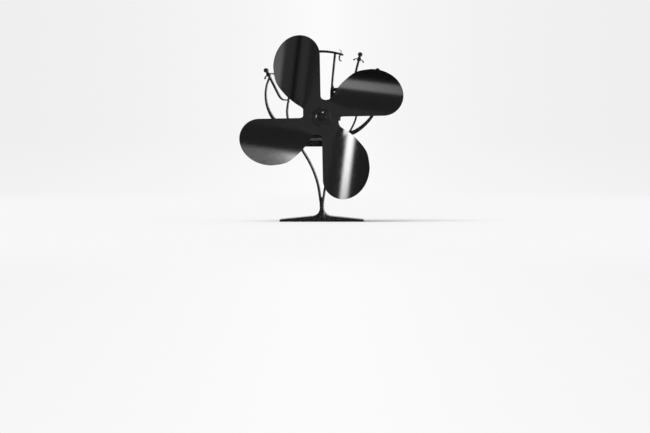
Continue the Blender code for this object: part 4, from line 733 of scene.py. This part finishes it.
# a soft lead with a shrunk sleeve over its soldered end
def makeLead(name, side, v):
    low, high = boxOf(name)
    r = v["radius"]
    xTerm, xMod = (low[0] + r, high[0] - r) if side > 0 else (high[0] - r, low[0] + r)
    behind, start, mid = high[1] - r, boxOf("module_edge_seal")[1, 1], low[2] + r
    termEnd = boxOf("terminal_right")[1, 1]
    rise = axisZ - v["corner"]
    at = lambda k: xMod + (xTerm - xMod) * k
    points = [
        (xMod, start + v["bare"], mid), (xMod, (start + behind) / 2, mid), (xMod, behind, v["corner"]),
        (at(1 / 3), behind, v["corner"] + rise / 3), (at(0.8), behind, v["corner"] + rise * 0.75),
        (xTerm, (behind + termEnd) / 2 + 0.2, axisZ), (xTerm, termEnd + v["bare"], axisZ),
    ]
    radii = [r, r, r, r, r, v["sleeve"], v["sleeve"]]
    standIn(newPiece(name + "_tube", [tube(points, radii)], "stationary", 60), name)


makeCan(motor)
makeCap(motor)
makeLead("lead_red", -1, leads)
makeLead("lead_black", 1, leads)
print("motor and leads built")


# materials: three shared groups, then one Principled material for each finish
def makeGroup(name, inputs, outputs):
    group = bpy.data.node_groups.new(name, "ShaderNodeTree")
    for label, value in inputs.items():
        kind = "NodeSocketVector" if isinstance(value, tuple) else "NodeSocketFloat"
        group.interface.new_socket(label, in_out="INPUT", socket_type=kind).default_value = value
    for label in outputs:
        group.interface.new_socket(label, in_out="OUTPUT", socket_type="NodeSocketFloat")
    return group, group.nodes.new("NodeGroupInput"), group.nodes.new("NodeGroupOutput")


# puts a value into a socket, or links another socket to it
def feed(tree, socket, value):
    if isinstance(value, bpy.types.NodeSocket):
        tree.links.new(value, socket)
    else:
        socket.default_value = value


# in_Scale or in_1 gives an input by its name or number, and any other word sets a property
def node(tree, kind, **values):
    made = tree.nodes.new(kind)
    for key, value in values.items():
        if key.startswith("in_"):
            socket = key[3:]
            feed(tree, made.inputs[int(socket) if socket.isdigit() else socket], value)
        else:
            setattr(made, key, value)
    return made


def math2(tree, operation, a, b=0.0, clamp=False):
    return node(tree, "ShaderNodeMath", operation=operation, use_clamp=clamp, in_0=a, in_1=b).outputs[0]


def ranged(tree, value, low, high, fromLow=0.3, fromHigh=0.7, smooth=False):
    scale = node(tree, "ShaderNodeMapRange", interpolation_type="SMOOTHSTEP" if smooth else "LINEAR",
                 in_0=value, in_1=fromLow, in_2=fromHigh, in_3=low, in_4=high)
    return scale.outputs[0]


# two sizes of noise: cloud for slow change, grain for the fine surface
def grainGroup():
    g, i, o = makeGroup("surfaceGrain", dict(Stretch=(1, 1, 1), Cloud=60.0, Grain=900.0), ("Cloud", "Grain"))
    where = node(g, "ShaderNodeTexCoord").outputs["Object"]
    scale = node(g, "ShaderNodeVectorMath", operation="MULTIPLY", in_0=where, in_1=i.outputs["Stretch"])
    for label, octaves in (("Cloud", 3.0), ("Grain", 2.0)):
        noise = node(g, "ShaderNodeTexNoise", in_Vector=scale.outputs[0], in_Scale=i.outputs[label],
                     in_Detail=octaves)
        feed(g, o.inputs[label], noise.outputs["Fac"])
    return g


# edge mask: the pieces' own edge attribute, broken up by noise so that it comes and goes
def wearGroup():
    g, i, o = makeGroup("edgeWear", dict(Scale=300.0, Cover=0.5), ["Mask"])
    edge = node(g, "ShaderNodeAttribute", attribute_name="edge")
    where = node(g, "ShaderNodeTexCoord").outputs["Object"]
    noise = node(g, "ShaderNodeTexNoise", in_Vector=where, in_Scale=i.outputs["Scale"], in_Detail=4.0)
    both = math2(g, "MULTIPLY", edge.outputs["Fac"], ranged(g, noise.outputs["Fac"], 0, 1, 0.35, 0.7))
    feed(g, o.inputs["Mask"], math2(g, "MULTIPLY", both, i.outputs["Cover"], True))
    return g


# dust mask: lies on what faces up, in soft patches
def dustGroup():
    g, i, o = makeGroup("settledDust", dict(Amount=0.2), ["Mask"])
    where = node(g, "ShaderNodeTexCoord").outputs["Object"]
    normal = node(g, "ShaderNodeNewGeometry").outputs["Normal"]
    up = node(g, "ShaderNodeSeparateXYZ", in_0=normal)
    noise = node(g, "ShaderNodeTexNoise", in_Vector=where, in_Scale=240.0, in_Detail=6.0)
    facing = ranged(g, up.outputs["Z"], 0, 1, 0.35, 1.0)
    lying = math2(g, "MULTIPLY", facing, ranged(g, noise.outputs["Fac"], 0, 1, 0.42, 0.72))
    feed(g, o.inputs["Mask"], math2(g, "MULTIPLY", lying, i.outputs["Amount"], True))
    return g


groups = dict(grain=grainGroup(), wear=wearGroup(), dust=dustGroup())
dustLook = dict(colour=(0.32, 0.31, 0.29), rough=0.6)


def mixColour(tree, fac, a, b):
    a, b = ((*colour, 1) if isinstance(colour, tuple) else colour for colour in (a, b))
    return node(tree, "ShaderNodeMix", data_type="RGBA", in_0=fac, in_6=a, in_7=b).outputs[2]


def useGroup(tree, name, **values):
    return node(tree, "ShaderNodeGroup", node_tree=groups[name], **values)


# Principled with cloud and grain in colour and roughness, edge wear, dust and a fine bump
def makeMaterial(name, dark, light, rough, metal, cloud, grain, bump, extra=None):
    v = dict(ior=1.5, stretch=(1, 1, 1), deep=0.0001) | (extra or {})
    material = bpy.data.materials.new(name)
    material.use_nodes = True
    tree = material.node_tree
    noise = useGroup(tree, "grain", in_Stretch=v["stretch"], in_Cloud=cloud, in_Grain=grain)
    height = noise.outputs["Grain"]
    colour = mixColour(tree, ranged(tree, noise.outputs["Cloud"], 0, 1), dark, light)
    rough = ranged(tree, height, *rough)
    if "turns" in v:   # wound wire
        where = node(tree, "ShaderNodeTexCoord").outputs["Object"]
        wave = node(tree, "ShaderNodeTexWave", bands_direction="DIAGONAL", in_Vector=where,
                    in_Scale=v["turns"], in_Distortion=0.6, in_Detail=1.0)
        height = wave.outputs["Fac"]
        # painted shade: the colour falls to its dark end in the low grooves of the wave, between the turns of
        # wire
        colour = mixColour(tree, ranged(tree, height, 0, 0.6, 0, 0.5), dark, colour)
    if "wear" in v:
        wear = useGroup(tree, "wear", in_Cover=v["wear"])
        colour = mixColour(tree, wear.outputs["Mask"], colour, v["worn"])
    if "dust" in v:
        dust = useGroup(tree, "dust", in_Amount=v["dust"])
        colour = mixColour(tree, dust.outputs["Mask"], colour, dustLook["colour"])
        dusty = math2(tree, "MULTIPLY", dust.outputs["Mask"], dustLook["rough"])
        rough = math2(tree, "ADD", rough, dusty, True)
    fine = node(tree, "ShaderNodeBump", in_Strength=bump, in_Distance=v["deep"], in_Height=height)
    shader = tree.nodes["Principled BSDF"]
    for label, value in (("Metallic", metal), ("IOR", v["ior"]), ("Base Color", colour),
                         ("Roughness", rough), ("Normal", fine.outputs[0])):
        feed(tree, shader.inputs[label], value)
    return material


# Each finish: the dark and the light end of its colour, its least and most roughness, metal, the scales
# of cloud and grain, the bump's strength, and what else it has. deep is the bump in m, turns are the
# wires to a metre, and worn is the colour of worn edges.
finishes = dict(
    satin_black_aluminium=(
        (0.005, 0.005, 0.0054), (0.0085, 0.0085, 0.009), (0.22, 0.3), 0.0, 35.0, 420.0, 0.08,
        dict(ior=1.38, stretch=(1, 0.02, 1), wear=0.12, worn=(0.035, 0.035, 0.037), dust=0.05, deep=0.00004)),
    gloss_black_aluminium=(
        (0.0045, 0.0045, 0.005), (0.0065, 0.0065, 0.007), (0.08, 0.115), 0.0, 22.0, 260.0, 0.02,
        dict(ior=1.75, wear=0.2, worn=(0.04, 0.04, 0.04), dust=0.05, deep=0.00003)),
    graphite=((0.03, 0.03, 0.033), (0.07, 0.07, 0.075), (0.5, 0.75), 0.3, 200.0, 1500.0, 0.3),
    ceramic=((0.74, 0.74, 0.71), (0.82, 0.82, 0.79), (0.28, 0.45), 0.0, 120.0, 1600.0, 0.08),
    seal=((0.58, 0.58, 0.56), (0.72, 0.72, 0.70), (0.5, 0.7), 0.0, 180.0, 900.0, 0.2),
    telluride=((0.20, 0.20, 0.22), (0.36, 0.36, 0.38), (0.35, 0.6), 0.85, 300.0, 1800.0, 0.2),
    steel=((0.42, 0.42, 0.43), (0.58, 0.58, 0.59), (0.24, 0.42), 1.0, 90.0, 1400.0, 0.08),
    spring_steel=((0.22, 0.20, 0.19), (0.38, 0.35, 0.32), (0.3, 0.5), 1.0, 260.0, 1500.0, 0.1),
    bronze=((0.30, 0.18, 0.08), (0.46, 0.30, 0.15), (0.45, 0.7), 0.95, 400.0, 3000.0, 0.35),
    copper=((0.34, 0.12, 0.05), (0.74, 0.36, 0.20), (0.3, 0.45), 0.95, 300.0, 1600.0, 0.5, dict(turns=900.0)),
    brass=((0.50, 0.36, 0.14), (0.66, 0.50, 0.22), (0.22, 0.4), 1.0, 120.0, 1600.0, 0.08),
    ferrite=((0.035, 0.032, 0.032), (0.075, 0.07, 0.068), (0.5, 0.75), 0.0, 350.0, 2200.0, 0.25),
    cap_plastic=((0.018, 0.018, 0.018), (0.035, 0.035, 0.035), (0.42, 0.6), 0.0, 150.0, 1800.0, 0.25,
                 dict(dust=0.1)),
    cream_plastic=((0.56, 0.50, 0.38), (0.70, 0.64, 0.50), (0.45, 0.65), 0.0, 200.0, 1600.0, 0.12),
    silicone_red=((0.30, 0.012, 0.010), (0.46, 0.025, 0.02), (0.42, 0.6), 0.0, 250.0, 1800.0, 0.12,
                  dict(dust=0.1)),
    silicone_black=((0.010, 0.010, 0.010), (0.022, 0.022, 0.022), (0.42, 0.6), 0.0, 250.0, 1800.0, 0.12,
                    dict(dust=0.1)),
)
materials = {slot: makeMaterial(slot, *values) for slot, values in finishes.items()}


def dress(target, slot):
    if not target.data.materials:
        target.data.materials.append(materials[slot])
    for place in target.material_slots:
        place.material = materials[slot]


for name, target in frame["nodes"].items():
    dress(target, slotOf[name])
for target, slot in fresh:
    dress(target, slot)
print("materials ready")

studio = dict(
    # backdrop: brightness in its middle, share of it far out, how fast it falls, where and how wide
    pale=0.965, edgeShare=0.885, halo=2.6, lean=0.016, spread=0.046,
    # the floor: its colour, radius in m, and where it fades into the backdrop
    floor=0.905, reach=12.0, fadeFrom=1.2, fadeTo=2.4, rings=29, sides=96,
    sun=2.5, sunFrom=(-0.25, -0.35, 1.0), softness=50,
    level=0.30,                # even light on matt surfaces
    dim=0.11,                  # the room in front of the fan, between its lights
    turnsPale=(-0.05, 0.2),    # the range of y where gloss turns from room to backdrop
    nearSide=0.05,             # least y by which x is divided, for the sides
)

# What a glossy surface sees of the room in front of the fan, as sines of the angle off the front axis:
# (x, half width, softness, z, half height, softness, brightness added)
roomLights = [
    (0.00, 0.08, 0.15, -0.03, 0.055, 0.13, 0.19),    # straight ahead
    (0.357, 0.080, 0.09, 0.17, 0.16, 0.16, 17.0),    # tall window
    (0.361, 0.062, 0.07, -0.06, 0.08, 0.16, 14.0),
    (0.00, 0.14, 0.20, 0.447, 0.073, 0.055, 2.1),    # shelf of light above
    (-0.81, 0.205, 0.07, 0.02, 0.16, 0.20, 1.3),     # far left wall
    (-0.50, 0.10, 0.06, 0.15, 0.40, 0.20, 0.13),
    (-0.26, 0.07, 0.06, 0.04, 0.10, 0.08, 0.165),
    (-0.395, 0.035, 0.05, 0.10, 0.40, 0.20, -0.14),  # dark gaps
    (0.0, 0.60, 0.20, 0.70, 0.13, 0.08, -0.11),
    (0.0, 0.50, 0.20, -0.62, 0.15, 0.10, 1.05),      # floor in front, bright towards the right
    (0.155, 0.25, 0.05, -0.65, 0.115, 0.13, 14.0),
    (-0.93, 0.06, 0.06, 0.40, 0.22, 0.20, 10.0),     # small lamps far to the left, above and right
    (0.34, 0.20, 0.20, 0.90, 0.06, 0.06, 7.0),
    (0.95, 0.05, 0.06, 0.00, 0.30, 0.20, 0.4),
]


# how the pale backdrop falls off sideways: g = edge + (pale - edge) exp(-halo u), edge = edgeShare pale
def falloff(tree, away, v):
    edge = v["edgeShare"] * v["pale"]
    fall = math2(tree, "POWER", math.exp(-v["halo"]), away)
    return math2(tree, "ADD", math2(tree, "MULTIPLY", fall, v["pale"] - edge), edge)


# A pale round floor: p(s, t) = R(s) (cos t, sin t, 0). Near the fan it is lit and takes the shadow,
# far out it glows like the backdrop, which is the world as the camera sees it.
def makeFloor(v):
    rings, sides = v["rings"], v["sides"]
    radii = v["reach"] * np.linspace(0, 1, rings + 1)[1:, None]**2
    turn = np.arange(sides) * math.tau / sides
    grid = np.stack((radii * np.cos(turn), radii * np.sin(turn), np.zeros((rings, sides))), -1)
    faces = gridFaces(rings, sides, True)[:, ::-1].tolist() + [list(range(sides))]
    mesh = bpy.data.meshes.new("floor")
    mesh.from_pydata(grid.reshape(-1, 3).tolist(), [], faces)
    mesh.shade_smooth()
    floor = bpy.data.objects.new("floor", mesh)
    collection.objects.link(floor)
    material = bpy.data.materials.new("floor")
    material.use_nodes = True
    tree = material.node_tree
    shader = tree.nodes["Principled BSDF"]
    shader.inputs["Base Color"].default_value = (v["floor"], v["floor"], v["floor"], 1)
    shader.inputs["Roughness"].default_value = 0.9
    shader.inputs["Specular IOR Level"].default_value = 0.0
    where = node(tree, "ShaderNodeTexCoord").outputs["Object"]
    flat = node(tree, "ShaderNodeVectorMath", operation="MULTIPLY", in_0=where, in_1=(1, 1, 0))
    away = node(tree, "ShaderNodeVectorMath", operation="LENGTH", in_0=flat.outputs[0])
    far = ranged(tree, away.outputs["Value"], 0, 1, v["fadeFrom"], v["fadeTo"], True)
    across = node(tree, "ShaderNodeVectorMath", operation="DOT_PRODUCT", in_0=where, in_1=(1, v["lean"], 0))
    width = v["spread"] * (v["reach"] + shot["distance"])
    sideways = math2(tree, "DIVIDE", math2(tree, "ABSOLUTE", across.outputs["Value"]), width)
    glow = node(tree, "ShaderNodeEmission", in_Strength=falloff(tree, sideways, v))
    path = node(tree, "ShaderNodeLightPath")
    seen = math2(tree, "ADD", path.outputs["Is Camera Ray"], path.outputs["Is Glossy Ray"])
    seen = math2(tree, "ADD", seen, path.outputs["Is Transmission Ray"], True)
    mix = node(tree, "ShaderNodeMixShader", in_0=math2(tree, "MULTIPLY", far, seen),
               in_1=shader.outputs[0], in_2=glow.outputs[0])
    feed(tree, tree.nodes["Material Output"].inputs["Surface"], mix.outputs[0])
    mesh.materials.append(material)
    floor.visible_glossy = False


def makeSun(v):
    data = bpy.data.lights.new("sun", "SUN")
    data.energy = v["sun"]
    data.angle = math.radians(v["softness"])
    light = bpy.data.objects.new("sun", data)
    collection.objects.link(light)
    light.rotation_euler = Vector(v["sunFrom"]).to_track_quat("Z", "Y").to_euler()
    light.visible_glossy = False


# 1 within half of centre, falling to 0 over soft on both sides
def band(tree, value, centre, half, soft):
    away = math2(tree, "ABSOLUTE", math2(tree, "SUBTRACT", value, centre))
    return ranged(tree, away, 1, 0, half - soft / 2, half + soft / 2, True)


# The room: pale for the camera, plain and even for diffuse light, and for gloss a dim room with
# soft windows in front of the fan and the pale backdrop behind it
def makeRoom(v, lights):
    room = bpy.data.worlds.new("room")
    bpy.context.scene.world = room
    room.use_nodes = True
    tree = room.node_tree
    where = node(tree, "ShaderNodeTexCoord").outputs["Generated"]
    x, y, z = node(tree, "ShaderNodeSeparateXYZ", in_0=where).outputs
    front = ranged(tree, y, 1, 0, *v["turnsPale"], True)
    total = v["dim"]
    for x0, halfX, softX, z0, halfZ, softZ, bright in lights:
        spot = math2(tree, "MULTIPLY", band(tree, x, x0, halfX, softX), band(tree, z, z0, halfZ, softZ))
        total = math2(tree, "ADD", total, math2(tree, "MULTIPLY", spot, bright))
    ahead = math2(tree, "MAXIMUM", math2(tree, "ABSOLUTE", y), v["nearSide"])
    sideways = math2(tree, "ABSOLUTE", math2(tree, "ADD", math2(tree, "DIVIDE", x, ahead), v["lean"]))
    wall = falloff(tree, math2(tree, "DIVIDE", sideways, v["spread"]), v)
    behind = math2(tree, "MULTIPLY", ranged(tree, y, 0, 1, *v["turnsPale"], True), wall)
    gloss = math2(tree, "ADD", math2(tree, "MULTIPLY", math2(tree, "MAXIMUM", total, 0.0), front), behind)
    path = node(tree, "ShaderNodeLightPath")
    strength = v["level"]
    for kind, value in (("Is Glossy Ray", gloss), ("Is Transmission Ray", wall), ("Is Camera Ray", wall)):
        pick = node(tree, "ShaderNodeMix", data_type="FLOAT", in_0=path.outputs[kind], in_2=strength,
                    in_3=value)
        strength = pick.outputs[0]
    back = tree.nodes["Background"]
    back.inputs["Color"].default_value = (1, 1, 1, 1)
    feed(tree, back.inputs["Strength"], strength)


makeFloor(studio)
makeRoom(studio, roomLights)
makeSun(studio)
print("stage ready")
